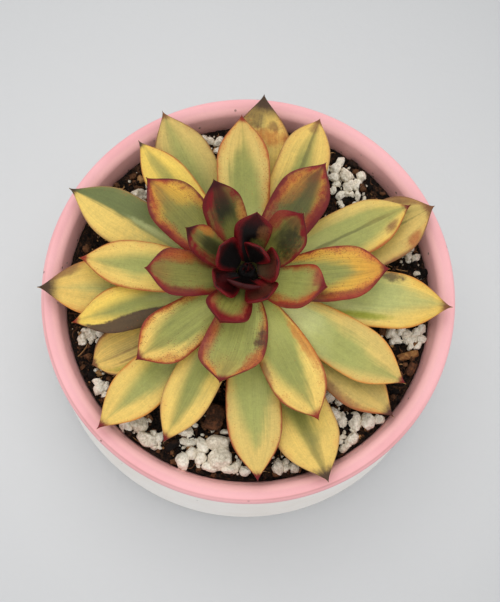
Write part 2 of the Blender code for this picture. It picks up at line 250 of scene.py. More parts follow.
class Bench:
    """A new material on the bench: its shader, and the coordinates that its patterns read."""

    def __init__(self, name: str) -> None:
        """Start a new material.

        Args:
            name: the material's name.
        """
        self.material = bpy.data.materials.new(name)
        self.material.use_nodes = True
        self.tree = self.material.node_tree
        self.shader = self.tree.nodes["Principled BSDF"]
        coordinates = self.tree.nodes.new("ShaderNodeTexCoord")
        self.place = Signal(self.tree, coordinates.outputs["Object"])

    def attribute(self, name: str) -> Signal:
        """Read a vector that the mesh carries at its points.

        Args:
            name: the attribute's name.

        Returns:
            The vector.
        """
        node = self.tree.nodes.new("ShaderNodeAttribute")
        node.attribute_name = name
        return Signal(self.tree, node.outputs["Vector"])

    def split(self, vector: Signal) -> tuple[Signal, Signal, Signal]:
        """Take a vector apart.

        Args:
            vector: the vector.

        Returns:
            Its three parts.
        """
        node = self.tree.nodes.new("ShaderNodeSeparateXYZ")
        vector.feed(node.inputs[0])
        x, y, z = node.outputs
        return Signal(self.tree, x), Signal(self.tree, y), Signal(self.tree, z)

    def stretch(self, vector: Signal, scale: Sequence[float], shift: Sequence[float] = (0, 0, 0)
                ) -> Signal:
        """Scale a vector along each axis and shift it.

        Args:
            vector: the vector.
            scale: factor on each part.
            shift: what is added to each part.

        Returns:
            The new vector.
        """
        node = self.tree.nodes.new("ShaderNodeMapping")
        vector.feed(node.inputs["Vector"])
        node.inputs["Scale"].default_value = scale
        node.inputs["Location"].default_value = shift
        return Signal(self.tree, node.outputs[0])

    def noise(self, vector: Signal, scale: float, detail: float = 2.0, roughness: float = 0.5) -> Signal:
        """Cloudy noise about zero, mostly between -0.5 and 0.5.

        Args:
            vector: coordinates that it reads.
            scale: clouds for each unit of the coordinates.
            detail: octaves of finer clouds.
            roughness: strength of each finer octave.

        Returns:
            The noise.
        """
        node = self.tree.nodes.new("ShaderNodeTexNoise")
        vector.feed(node.inputs["Vector"])
        node.inputs["Scale"].default_value = scale
        node.inputs["Detail"].default_value = detail
        node.inputs["Roughness"].default_value = roughness
        return Signal(self.tree, node.outputs[0]) - 0.5

    def cells(self, vector: Signal, scale: float) -> tuple[Signal, Signal]:
        """Divide the surface into cells about scattered points.

        Args:
            vector: coordinates that they read.
            scale: cells for each unit of the coordinates.

        Returns:
            Distance to the middle of the nearest cell, and a chance value of that cell.
        """
        node = self.tree.nodes.new("ShaderNodeTexVoronoi")
        vector.feed(node.inputs["Vector"])
        node.inputs["Scale"].default_value = scale
        chance, _, _ = self.split(Signal(self.tree, node.outputs["Color"]))
        return Signal(self.tree, node.outputs["Distance"]), chance

    def finish(self, colour: Signal, roughness: Signal, height: Signal, depth: float,
               specular: float = 0.5) -> bpy.types.Material:
        """Lead colour, roughness and relief into the shader.

        Args:
            colour: base colour.
            roughness: roughness.
            height: relief, about -0.5 to 0.5.
            depth: depth in metres of one unit of relief.
            specular: strength of the surface reflection, the same all over.

        Returns:
            The finished material.
        """
        colour.feed(self.shader.inputs["Base Color"])
        roughness.feed(self.shader.inputs["Roughness"])
        self.shader.inputs["Specular IOR Level"].default_value = specular
        bump = self.tree.nodes.new("ShaderNodeBump")
        bump.inputs["Distance"].default_value = depth
        height.feed(bump.inputs["Height"])
        self.tree.links.new(bump.outputs[0], self.shader.inputs["Normal"])
        return self.material


def smooth_noise(points: Array, size: float, seed: int, waves: int = 28) -> Array:
    """Rolling noise about zero: the mean of sine waves that run in all directions.

    Args:
        points: places, one in each row, in millimetres.
        size: length of a typical roll, in millimetres.
        seed: number that fixes the waves' directions and phases.
        waves: how many waves are added.

    Returns:
        One value for each row, mostly between -1 and 1.
    """
    draw = np.random.default_rng(seed)
    axes = draw.normal(size=(points.shape[-1], waves))
    axes /= np.linalg.norm(axes, axis=0)
    rates = 2 * np.pi / size * draw.uniform(0.7, 1.4, waves)
    phases = draw.uniform(0, 2 * np.pi, waves)
    return np.sin(points @ (axes * rates) + phases).sum(axis=-1) * math.sqrt(2 / waves) * 0.6


def step(values: Array, low: float, high: float) -> Array:
    """Smooth step of an array from zero at low to one at high."""
    share = np.clip((values - low) / (high - low), 0, 1)
    return share * share * (3 - 2 * share)


def arc(centre: tuple[float, float], radius: float, start: float, end: float, steps: int) -> Array:
    """Points of a round corner in the profile's plane, from one angle in degrees to another."""
    angles = np.radians(np.linspace(start, end, steps + 1))
    return np.stack([centre[0] + radius * np.cos(angles), centre[1] + radius * np.sin(angles)], axis=1)


def full_turn(count: int) -> Array:
    """Angles evenly spread over a full turn, as one row."""
    return np.linspace(0, 2 * np.pi, count, endpoint=False)[None]


def circles(radius: Union[float, Array], height: Union[float, Array], turn: Array) -> Array:
    """Rings about the upright axis: radius by cosine, radius by sine, height.

    Args:
        radius: radius of each ring, as a column, or one for all.
        height: height of each ring, likewise.
        turn: the angles round a ring, as a row.

    Returns:
        The points as rows, places around and x, y, z.
    """
    return np.stack(np.broadcast_arrays(radius * np.cos(turn), radius * np.sin(turn), height), axis=-1)


def spin(turn: float) -> Array:
    """Matrix that turns points, one in each row, about the upright axis by an angle in radians."""
    along, aside = math.cos(turn), math.sin(turn)
    return np.array([[along, aside, 0], [-aside, along, 0], [0, 0, 1]])


def wrap(rings: Array, first: Array, last: Array) -> Body:
    """Close a grid of rings into one body, with a fan of triangles to a pole at each end.

    Args:
        rings: points as rows, places around and x, y, z.
        first: the pole before the first ring.
        last: the pole after the last ring.

    Returns:
        The points, and triangles as rows of three point numbers that face outwards.
    """
    rows, around = rings.shape[:2]
    points = np.concatenate([first[None], rings.reshape(-1, 3), last[None]])
    here = 1 + np.arange(rows * around).reshape(rows, around)
    beside = np.roll(here, -1, axis=1)
    lower = np.stack([here[:-1], beside[:-1], beside[1:]], axis=-1).reshape(-1, 3)
    upper = np.stack([here[:-1], beside[1:], here[1:]], axis=-1).reshape(-1, 3)
    start = np.stack([np.zeros(around, int), beside[0], here[0]], axis=-1)
    end = np.stack([np.full(around, len(points) - 1), here[-1], beside[-1]], axis=-1)
    faces = np.concatenate([start, lower, upper, end])
    return points, face_outwards(points, faces)


def face_outwards(points: Array, faces: Array) -> Array:
    """Turn all triangles round where the body's signed volume is negative.

    Args:
        points: the body's points.
        faces: its triangles, which agree with one another.

    Returns:
        The triangles, facing outwards.
    """
    a, b, c = (points[faces[:, k]] for k in range(3))
    volume = np.einsum("ij,ij->", a, np.cross(b, c))
    return faces if volume > 0 else faces[:, ::-1]


def add_piece(name: str, points: Array, faces: Array, material: bpy.types.Material, slot: str,
              stands_for: Sequence[str] = (), carries: Union[dict[str, Array], None] = None
              ) -> bpy.types.Object:
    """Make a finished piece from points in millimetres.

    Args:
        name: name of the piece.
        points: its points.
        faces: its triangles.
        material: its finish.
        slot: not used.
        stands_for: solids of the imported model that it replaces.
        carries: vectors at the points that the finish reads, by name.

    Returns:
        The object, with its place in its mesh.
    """
    mesh = bpy.data.meshes.new(name)
    mesh.vertices.add(len(points))
    mesh.vertices.foreach_set("co", (points * MM).astype(np.float32).ravel())
    mesh.loops.add(faces.size)
    mesh.loops.foreach_set("vertex_index", faces.astype(np.int32).ravel())
    mesh.polygons.add(len(faces))
    mesh.polygons.foreach_set("loop_start", np.arange(0, faces.size, 3, dtype=np.int32))
    mesh.update(calc_edges=True)
    mesh.shade_smooth()
    for key, vectors in (carries or {}).items():
        layer = mesh.attributes.new(key, "FLOAT_VECTOR", "POINT")
        layer.data.foreach_set("vector", vectors.astype(np.float32).ravel())
    mesh.materials.append(material)
    piece = bpy.data.objects.new(name + FINE, mesh)
    bpy.context.scene.collection.objects.link(piece)
    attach(piece, BODY)
    if stands_for:
        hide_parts(*stands_for)
    LOG.info("%s: %d triangles", name, len(faces))
    return piece


def alike(copies: Array, faces: Array) -> Body:
    """One body from copies of a shape that differ only in their points.

    Args:
        copies: points of every copy, as copies, points and x, y, z.
        faces: triangles of one copy.

    Returns:
        The points and triangles of all copies.
    """
    count, each, _ = copies.shape
    offsets = each * np.arange(count)
    return copies.reshape(-1, 3), (faces[None] + offsets[:, None, None]).reshape(-1, 3)


def together(parts: Sequence[Body]) -> Body:
    """One body from several, each with its own points and triangles.

    Args:
        parts: the bodies.

    Returns:
        The points and triangles of all of them, in their order.
    """
    offsets = np.cumsum([0] + [len(points) for points, _ in parts[:-1]])
    points = np.concatenate([points for points, _ in parts])
    return points, np.concatenate([faces + offset for (_, faces), offset in zip(parts, offsets)])


def ball(rows: int, around: int) -> Body:
    """A sphere of radius one, as rings whose radius is the sine of their tilt, and two poles.

    Args:
        rows: rings between the poles.
        around: points in a ring.

    Returns:
        The points and triangles.
    """
    tilt = np.linspace(0, np.pi, rows + 2)[1:-1, None]
    rings = circles(np.sin(tilt), np.cos(tilt), full_turn(around))
    return wrap(rings, np.array([0, 0, 1.0]), np.array([0, 0, -1.0]))


def random_turns(draw: np.random.Generator, count: int) -> Array:
    """Rotations with no favoured direction, from random unit quaternions.

    Args:
        draw: source of chance.
        count: how many.

    Returns:
        A 3 by 3 matrix for each.
    """
    w, x, y, z = draw.normal(size=(4, count))
    size = np.sqrt(w * w + x * x + y * y + z * z)
    w, x, y, z = w / size, x / size, y / size, z / size
    rows = [[1 - 2 * (y * y + z * z), 2 * (x * y - z * w), 2 * (x * z + y * w)],
            [2 * (x * y + z * w), 1 - 2 * (x * x + z * z), 2 * (y * z - x * w)],
            [2 * (x * z - y * w), 2 * (y * z + x * w), 1 - 2 * (x * x + y * y)]]
    return np.moveaxis(np.array(rows), -1, 0)


@dataclass(frozen=True)
class Crown:
    """The leaning axis of the plant, which the leaf bases climb rank by rank."""

    foot: float = 52.0
    x: float = -0.5
    y: float = 1.0
    lean_x: float = -0.022
    lean_y: float = 0.165
    rank_rise: float = 0.58
    first_leaf: float = 50.2
    radius: float = 5.2
    taper: float = 0.13
    gap: float = 0.3

    def axis(self, height: Union[float, Array]) -> tuple[Union[float, Array], Union[float, Array]]:
        """Centre of the stem at a height, as x and y."""
        above = height - self.foot
        return self.x + self.lean_x * above, self.y + self.lean_y * above

    def stem_radius(self, height: Union[float, Array]) -> Union[float, Array]:
        """Radius of the stem at a height."""
        return self.radius - self.taper * (height - self.foot)

    def leaf_height(self, rank: int) -> float:
        """Height at which the leaf of a rank grows from the stem."""
        return self.first_leaf + self.rank_rise * rank


CROWN = Crown()


@dataclass(frozen=True)
class Smudge:
    """A stain on a leaf, by where it is across and along, its half sizes there, and its colour."""

    middle: ClassVar[float] = 0.7

    across: float
    along: float
    half_across: float
    half_along: float
    tint: Tint
    strength: float = 0.8
    ragged: float = 1.1
    border: float = 1.7

    def cover(self, across: Signal, along: Signal, noise: Signal) -> Signal:
        """Share of the skin that the stain covers: full within its ellipse, past a ragged border none.

        The squares of the ways across and along, each over its half size, add up to the distance,
        and the cover falls round the middle of the border.

        Args:
            across: place across the leaf.
            along: place along the leaf.
            noise: noise that tears the border.

        Returns:
            The share.
        """
        side = (across - self.across) * (1 / self.half_across)
        far = (along - self.along) * (1 / self.half_along)
        half = self.border / 2
        distance = side * side + far * far + noise * self.ragged
        return distance.fall(self.middle - half, self.middle + half) * self.strength


@dataclass(frozen=True)
class SkinNoise:
    """Noises of a leaf's skin: four sizes in place, and threads and veins drawn out along the leaf."""

    drift: Signal
    patch: Signal
    mottle: Signal
    grain: Signal
    thread: Signal
    vein: Signal

    @classmethod
    def on(cls, bench: Bench, own: Signal, spot: Signal, shift: float) -> "SkinNoise":
        """Set up the noises of one leaf.

        Args:
            bench: the leaf's material.
            own: object coordinates, set apart from the other leaves'.
            spot: place across, along and above the leaf.
            shift: number that sets this leaf's threads and veins apart.

        Returns:
            The noises.
        """
        threads = bench.stretch(spot, (4.5, 1.4, 0), (shift, 0, 0))
        veins = bench.stretch(spot, (28, 1.2, 0), (0, shift, 0))
        return cls(drift=bench.noise(own, 80, 3), patch=bench.noise(own, 200, 4, 0.6),
                   mottle=bench.noise(own, 700, 4, 0.65), grain=bench.noise(own, 2000, 3, 0.6),
                   thread=bench.noise(threads, 1, 4, 0.6), vein=bench.noise(veins, 1, 2))


@dataclass(frozen=True)
class LeafPaint:
    """Colours of one leaf's skin. Left is the anticlockwise side, seen from above.

    The green field has a half width at the base, an end, a shift to the left and a soft border,
    and the line along the midrib a half width, a reach and a strength. The halo lies inside the
    margins, ripe is its strength over the tip, and left and right are the margins' widths, all as
    shares of the half width or of the length. Lift is painted light: how much lighter the lower part of the
    leaf is made.
    """

    freckle_cells: ClassVar[float] = 2300.0
    relief_depth: ClassVar[float] = 0.00022

    flesh: Tint = Tint.BUTTER
    base: Tint = Tint.CELERY
    green: Tint = Tint.SAGE
    field: float = 0.9
    field_end: float = 0.88
    field_shift: float = 0.0
    soft: float = 0.28
    line: Tint = Tint.OLIVE
    line_half: float = 0.07
    line_reach: tuple[float, float] = (0.1, 0.9)
    line_strength: float = 0.0
    halo: Tint = Tint.APRICOT
    halo_strength: float = 0.42
    ripe: float = 0.2
    edge: Tint = Tint.RUST
    left: float = 0.03
    right: float = 0.03
    tip: Tint = Tint.BROWN
    tip_length: float = 0.05
    freckles: float = 0.15
    freckle: Tint = Tint.RUST
    under: Tint = Tint.SAGE
    streaks: float = 0.85
    # Painted light: how much lighter the lower part of the leaf is made.
    lift: float = 0.6
    smudges: tuple[Smudge, ...] = ()
    roughness: float = 0.45
    gloss: float = 0.3

    def material(self, name: str, shift: float) -> bpy.types.Material:
        """Skin of a leaf, read from the place across, along and above that its mesh carries.

        A green field starts wide at the base and narrows to nothing further out, inside the flesh
        colour. A thin line may follow the midrib. A warm halo deepens in patches towards the
        margins and the tip, the margin's own line darkens to its very edge, freckles gather near
        it, and the point darkens. Threads of noise drawn out along the leaf break up every border.

        Args:
            name: the material's name.
            shift: number that sets this leaf's noise apart from the others.

        Returns:
            The finished material.
        """
        bench = Bench(name)
        spot = bench.attribute("spot")
        across, along, above = bench.split(spot)
        own = bench.stretch(bench.place, (1, 1, 1), (shift / 100, 0, 0))
        noise = SkinNoise.on(bench, own, spot, shift)
        rim = abs(across)
        margin = across.rise(-0.05, 0.05, self.right, self.left)
        late = along.rise(0.6, 1.0)
        outward = rim + margin * 2.6 + late * 0.15
        uneven = noise.mottle * 1.6 + noise.patch * 2.2 + noise.drift * 3.0 + late * 0.6 + 1.0
        band = rim + margin * uneven.at_least(0.2)
        torn = noise.thread + noise.mottle + noise.patch
        colour = self.variegation(across + noise.thread * 0.36 + noise.drift * 0.3,
                                  along + noise.thread * 0.15 + noise.drift * 0.35)
        colour = self.halo_cover(outward, late, noise).mix(colour, self.halo)
        colour = (band.rise(0.92, 1.05) * 0.9).mix(colour, self.edge)
        for smudge in self.smudges:
            colour = smudge.cover(across, along, torn).mix(colour, smudge.tint)
        colour = self.freckle_cover(bench, own, outward, noise).mix(colour, self.freckle)
        point = along + noise.mottle * 0.05 + noise.thread * 0.04
        colour = point.rise(1 - self.tip_length * 1.3, 1 - self.tip_length * 0.5).mix(colour, self.tip)
        below = band.rise(0.85, 1.0).mix(self.under, self.edge)
        colour = above.rise(-0.12, 0.0).mix(below, colour).brighten(self.shade(along, band, noise))
        sheen = noise.mottle * 0.14 + noise.drift * 0.15 + self.roughness
        relief = noise.vein * 0.5 + noise.mottle * 0.4 + noise.grain * 0.2
        return bench.finish(colour, sheen, relief, self.relief_depth, self.gloss)

    def variegation(self, across: Signal, along: Signal) -> Signal:
        """The green field in the flesh colour, and the line along the midrib.

        The field's half width is the given share at the base, less that share times the square of
        the way to the field's end.

        Args:
            across: place across, with noise on it.
            along: place along, with noise on it.

        Returns:
            The colour.
        """
        way = (along * (1 / self.field_end)).at_least(0.0)
        middle = abs(across - self.field_shift)
        inside = (middle + way * way * self.field).fall(self.field - self.soft, self.field + self.soft)
        colour = inside.mix(self.flesh, along.rise(0.12, 0.6).mix(self.base, self.green))
        if self.line_strength > 0:
            start, end = self.line_reach
            run = along.fall(end - 0.1, end + 0.1) * along.rise(start - 0.1, start + 0.1)
            drawn = middle.fall(self.line_half * 0.4, self.line_half * 1.8) * run * self.line_strength
            colour = drawn.mix(colour, self.line)
        return colour

    def halo_cover(self, outward: Signal, late: Signal, noise: SkinNoise) -> Signal:
        """Share of the halo: it glows in patches near the margins and ripens towards the tip.

        Args:
            outward: how far the place is towards the margin.
            late: how far it is towards the tip.
            noise: the leaf's noises.

        Returns:
            The share.
        """
        glow = (outward + noise.patch * 0.45 + noise.thread * 0.15).rise(0.78, 1.16)
        glow = glow * (noise.patch * 2.2 + noise.drift * 1.4 + 0.85).at_least(0.1).at_most(1.0)
        ripening = late * (noise.patch * 1.6 + 1.0).at_least(0.0) * self.ripe
        return (glow * self.halo_strength + ripening).at_most(1.0)

    def freckle_cover(self, bench: Bench, own: Signal, outward: Signal, noise: SkinNoise) -> Signal:
        """Share of the freckles: small dots in some cells and fine blots, both denser near the margin.

        Args:
            bench: the leaf's material.
            own: coordinates that the cells read.
            outward: how far the place is towards the margin.
            noise: the leaf's noises.

        Returns:
            The share.
        """
        distance, chance = bench.cells(own, self.freckle_cells)
        dense = (outward.rise(0.5, 1.15) * 0.8 + noise.patch * 1.6).at_least(0.0) * self.freckles
        dots = distance.fall(0.2, 0.55) * (dense - chance).rise(-0.02, 0.1) * 0.6
        blots = (noise.mottle + noise.grain * 0.6 + noise.patch * 1.1 + noise.drift * 0.5).rise(0.08, 0.32)
        return dots.at_least(blots * outward.rise(0.55, 1.15) * self.freckles * 0.7)

    def shade(self, along: Signal, band: Signal, noise: SkinNoise) -> Signal:
        """Lightness of the skin: streaks and mottle about one and dark at the very margin, made lighter
        towards the base by the lift as painted light, and dark at the very foot as painted shade deep in
        the rosette.

        Args:
            along: place along the leaf.
            band: place across, one at the inner side of the margin's line.
            noise: the leaf's noises.

        Returns:
            The factor.
        """
        streaks = (noise.thread * 0.44 + noise.vein * 0.34) * self.streaks
        clouds = noise.drift * 0.2 + noise.patch * 0.26 + noise.mottle * 0.34 + noise.grain * 0.36
        shade = streaks + clouds - band.rise(1.0, 1.22) * 0.35
        # Painted light lifts the lower leaf, and painted shade darkens its very foot.
        return (shade + along.fall(0.05, 0.6) * self.lift + 1.0) * along.rise(0.0, 0.14, 0.3, 1.0)


def leaf_spots(grid: Array) -> Array:
    """Place across, along and above at every point of a leaf: its grid of rings and its two ends."""
    return np.concatenate([[[0, 0, 0]], grid.reshape(-1, 3), [[0, 1, 0]]])


@dataclass(frozen=True)
class Leaf:
    """One leaf: its place in the spiral, how far its tip reaches and rises over the rim, its
    greatest width and thickness, its bend in degrees, its sweep to the left and how blunt it is.
    """

    broadest: ClassVar[float] = 0.64
    base_share: ClassVar[float] = 0.34
    cusp: ClassVar[float] = 1.6
    thin_foot: ClassVar[float] = 0.45
    thin_tip: ClassVar[float] = 0.4
    cup: ClassVar[float] = 0.16
    top_share: ClassVar[float] = 0.75
    rim_height: ClassVar[float] = 55.0
    groove: ClassVar[float] = 0.22
    groove_half: ClassVar[float] = 0.16
    ripple: ClassVar[float] = 0.3
    wobble: ClassVar[float] = 0.018
    grown_reach: ClassVar[float] = 40.0

    rank: int
    turn: float
    reach: float
    rise: float
    width: float
    thick: float
    bend: float
    sweep: float
    blunt: float = 2.2

    def half_width(self, along: Array) -> Array:
        """Half the width: it swells by a quarter sine to the broadest place, then draws in to a cusp.

        Args:
            along: 0 at the base to 1 at the tip.

        Returns:
            Millimetres.
        """
        before = np.clip(along / self.broadest, 0, 1)
        past = np.clip((along - self.broadest) / (1 - self.broadest), 0, 1)
        swell = self.base_share + (1 - self.base_share) * np.sin(np.pi / 2 * before ** 0.85)
        point = (1 - past ** (1.3 * self.blunt)) ** self.cusp
        return self.width / 2 * np.where(along < self.broadest, swell, point)

    def half_thickness(self, along: Array) -> Array:
        """Half the thickness: thin at the base, full half way out, thin again at the tip.

        Args:
            along: 0 at the base to 1 at the tip.

        Returns:
            Millimetres.
        """
        grow = self.thin_foot + (1 - self.thin_foot) * np.sin(np.pi / 2 * np.clip(along / 0.5, 0, 1))
        fade = 1 - (1 - self.thin_tip) * np.clip((along - 0.5) / 0.5, 0, 1) ** 1.7
        return self.thick / 2 * np.where(along < 0.5, grow, fade)

    def midrib(self, along: Array) -> tuple[Array, Array, Array]:
        """The midrib, an arc in an upright plane from the stem to the tip, with the leaf's bend.

        Args:
            along: 0 at the base to 1 at the tip.

        Returns:
            Distance out, height, and slope in radians.
        """
        height = CROWN.leaf_height(self.rank)
        start = CROWN.stem_radius(height) + 1.5 * CROWN.gap
        run = self.reach - start
        climb = self.rim_height + self.rise - height
        half = math.radians(self.bend) / 2
        length = math.hypot(run, climb) * half / math.sin(half)
        first = math.atan2(climb, run) - half
        slope = first + 2 * half * along
        radius = length / (2 * half)
        out = start + radius * (np.sin(slope) - math.sin(first))
        return out, height + radius * (math.cos(first) - np.cos(slope)), slope

    def surface(self, across: Array, above: Array, along: Array) -> Array:
        """Points of the skin from the place across, above and along.

        The section is a lens on a middle surface raised towards both margins, drawn along the
        midrib's arc. Past the plain form, a shallow groove follows the midrib and the margins
        ripple by a sine along the leaf, with another phase on each side.

        Args:
            across: -1 to 1 between the margins, anticlockwise side positive.
            above: 1 on the upper face, -1 on the lower face, 0 at the margins.
            along: 0 at the base to 1 at the tip.

        Returns:
            The points, in millimetres.
        """
        draw = np.random.default_rng(100 + self.rank)
        rates = draw.uniform(1.2, 2.6, 2)
        phases = draw.uniform(0, 2 * np.pi, 3)
        width = self.half_width(along)
        thick = self.half_thickness(along) * np.where(above > 0, self.top_share, 2 - self.top_share)
        cup = self.cup * np.clip(along / 0.6, 0, 1) ** 1.5
        lift = cup * width * np.abs(across) ** 1.7 + thick * np.sign(above) * np.abs(above) ** 1.15
        grown = min(1.0, self.reach / self.grown_reach)
        open_part = np.sin(np.pi * along) * grown
        lift -= self.groove * open_part * np.exp(-(across / self.groove_half) ** 2) * (above > 0)
        wave = np.where(across > 0, np.sin(2 * np.pi * rates[0] * along + phases[0]),
                        np.sin(2 * np.pi * rates[1] * along + phases[1]))
        lift += self.ripple * open_part * across ** 2 * wave
        side = width * across * (1 + self.wobble * grown * np.sin(9 * along + phases[2]))
        out, up, slope = self.midrib(along)
        out = out - lift * np.sin(slope)
        up = up + lift * np.cos(slope)
        side = side + self.sweep * along ** 2
        turn = math.radians(self.turn)
        base_x, base_y = CROWN.axis(CROWN.leaf_height(self.rank))
        return np.stack([base_x + out * math.cos(turn) - side * math.sin(turn),
                         base_y + out * math.sin(turn) + side * math.cos(turn), up], axis=-1)

    def build(self, name: str, paint: LeafPaint, slot: str, rows: int = 84, around: int = 48
              ) -> bpy.types.Object:
        """Make the leaf on a grid of rings from base to tip and put its paint on.

        Args:
            name: name of the piece and of the solid that it stands for.
            paint: its colours.
            slot: handed on to add_piece.
            rows: steps from base to tip, closer together at both ends.
            around: points in each ring.

        Returns:
            The finished leaf.
        """
        steps = (1 - np.cos(np.linspace(0, np.pi, rows + 1)))[1:-1, None] / 2
        angle = full_turn(around)
        across, above, along = np.broadcast_arrays(np.cos(angle), np.sin(angle), steps)
        ends = self.surface(np.zeros(2), np.zeros(2), np.array([0.0, 1.0]))
        points, faces = wrap(self.surface(across, above, along), ends[0], ends[1])
        spots = leaf_spots(np.stack([across, along, above], axis=-1))
        return add_piece(name, points, faces, paint.material(name + "_skin", 3.7 * self.rank), slot, [name],
                         {"spot": spots})


# Every leaf from the lowest up: rank, turn, reach, rise, width, thickness, bend, sweep, bluntness.
LEAVES = (
    Leaf(0, 292, 65.0, 5, 20.5, 3.4, 8, 0.5),
    Leaf(1, 84, 64.0, 6, 19.5, 3.4, 14, 1.5),
    Leaf(2, 205, 53.5, -3, 15.5, 2.2, -8, 0.0, 4.5),
    Leaf(4, 117, 63.5, 6, 19.0, 3.4, 4, -2.0),
    Leaf(6, 21, 64.5, 6, 19.5, 3.2, 14, 4.0, 3.0),
    Leaf(7, 179, 65.2, 6.5, 18.5, 3.4, 17, 1.5),
    Leaf(8, 322, 60.5, 4, 16.5, 3.2, 10, -4.0),
    Leaf(10, 223, 64.5, 6, 16.0, 3.6, 10, 1.5),
    Leaf(11, 356, 64.0, 7, 18.5, 3.6, 10, -2.0),
    Leaf(12, 151.5, 63.8, 7, 17.0, 3.6, 10, -0.5),
    Leaf(13, 273, 61.5, 6, 17.0, 3.6, 8, 0.0),
    Leaf(14, 64, 58.5, 8, 16.5, 3.6, 10, 3.0, 3.0),
    Leaf(15, 188, 55.5, 8, 15.0, 3.4, 12, 5.0),
    Leaf(16, 329, 58.0, 9, 17.0, 3.8, 8, -2.0),
    Leaf(17, 127, 57.0, 9, 14.0, 3.8, 10, 0.0),
    Leaf(18, 242, 56.5, 8, 15.0, 3.8, 12, 1.0),
    Leaf(19, 27, 57.0, 9, 17.0, 3.8, 12, -1.0),
    Leaf(20, 171, 52.5, 11, 15.5, 3.8, 10, 1.5),
    Leaf(21, 297, 49.0, 11, 17.5, 4.0, 14, -0.5),
    Leaf(22, 92, 53.0, 12, 17.0, 4.0, 16, 0.0),
    Leaf(23, 216, 43.0, 13, 17.0, 3.8, 20, 1.0),
    Leaf(24, 3, 44.0, 14, 17.5, 4.0, 18, 0.5),
    Leaf(25, 135, 44.0, 16, 16.5, 4.0, 20, 0.5),
    Leaf(26, 264, 34.5, 16, 20.0, 3.8, 20, -5.0),
    Leaf(27, 56, 42.5, 19, 16.5, 4.0, 24, -0.5),
    Leaf(28, 180, 31.5, 19, 15.0, 3.6, 24, -1.0),
    Leaf(29, 341, 24.5, 21, 15.0, 3.4, 26, 3.0),
    Leaf(30, 111, 29.5, 24, 13.0, 3.4, 26, 0.0),
    Leaf(31, 243, 18.5, 21, 14.5, 3.2, 28, 0.0),
    Leaf(32, 40, 23.0, 27, 14.5, 3.2, 28, 1.5),
    Leaf(33, 150, 22.0, 26, 10.0, 3.0, 28, -0.5),
    Leaf(34, 302, 11.0, 21, 11.5, 2.4, 56, 0.0),
    Leaf(35, 84, 15.0, 30, 11.5, 2.8, 36, -1.0),
    Leaf(36, 212, 11.5, 22, 11.0, 2.4, 60, 0.0),
    Leaf(37, 5, 9.2, 25, 11.0, 2.4, 70, 0.0),
    Leaf(38, 149, 9.8, 26, 11.0, 2.2, 52, 0.0),
    Leaf(39, 257, 6.2, 23, 11.0, 2.2, 84, 0.0),
    Leaf(40, 53, 6.0, 25, 10.0, 2.2, 56, 0.0),
)

# Paint that the red middle leaves and the dark young leaves start from.
RIPE = LeafPaint(flesh=Tint.GOLD, base=Tint.FERN, green=Tint.GREEN, halo=Tint.RUST, halo_strength=0.85,
                 ripe=0.5, edge=Tint.CRIMSON, left=0.1, right=0.1, tip=Tint.CRIMSON, tip_length=0.07,
                 freckles=0.9, freckle=Tint.CRIMSON, streaks=1.7, lift=0.3)
YOUNG = LeafPaint(flesh=Tint.NIGHT, base=Tint.NIGHT, green=Tint.NIGHT, halo=Tint.CRIMSON, halo_strength=0.7,
                  ripe=0.3, edge=Tint.CRIMSON, left=0.09, right=0.09, tip=Tint.WINE, tip_length=0.08,
                  freckles=0.5, freckle=Tint.NIGHT, under=Tint.PLUM, streaks=2.4, lift=0.0, gloss=0.2)

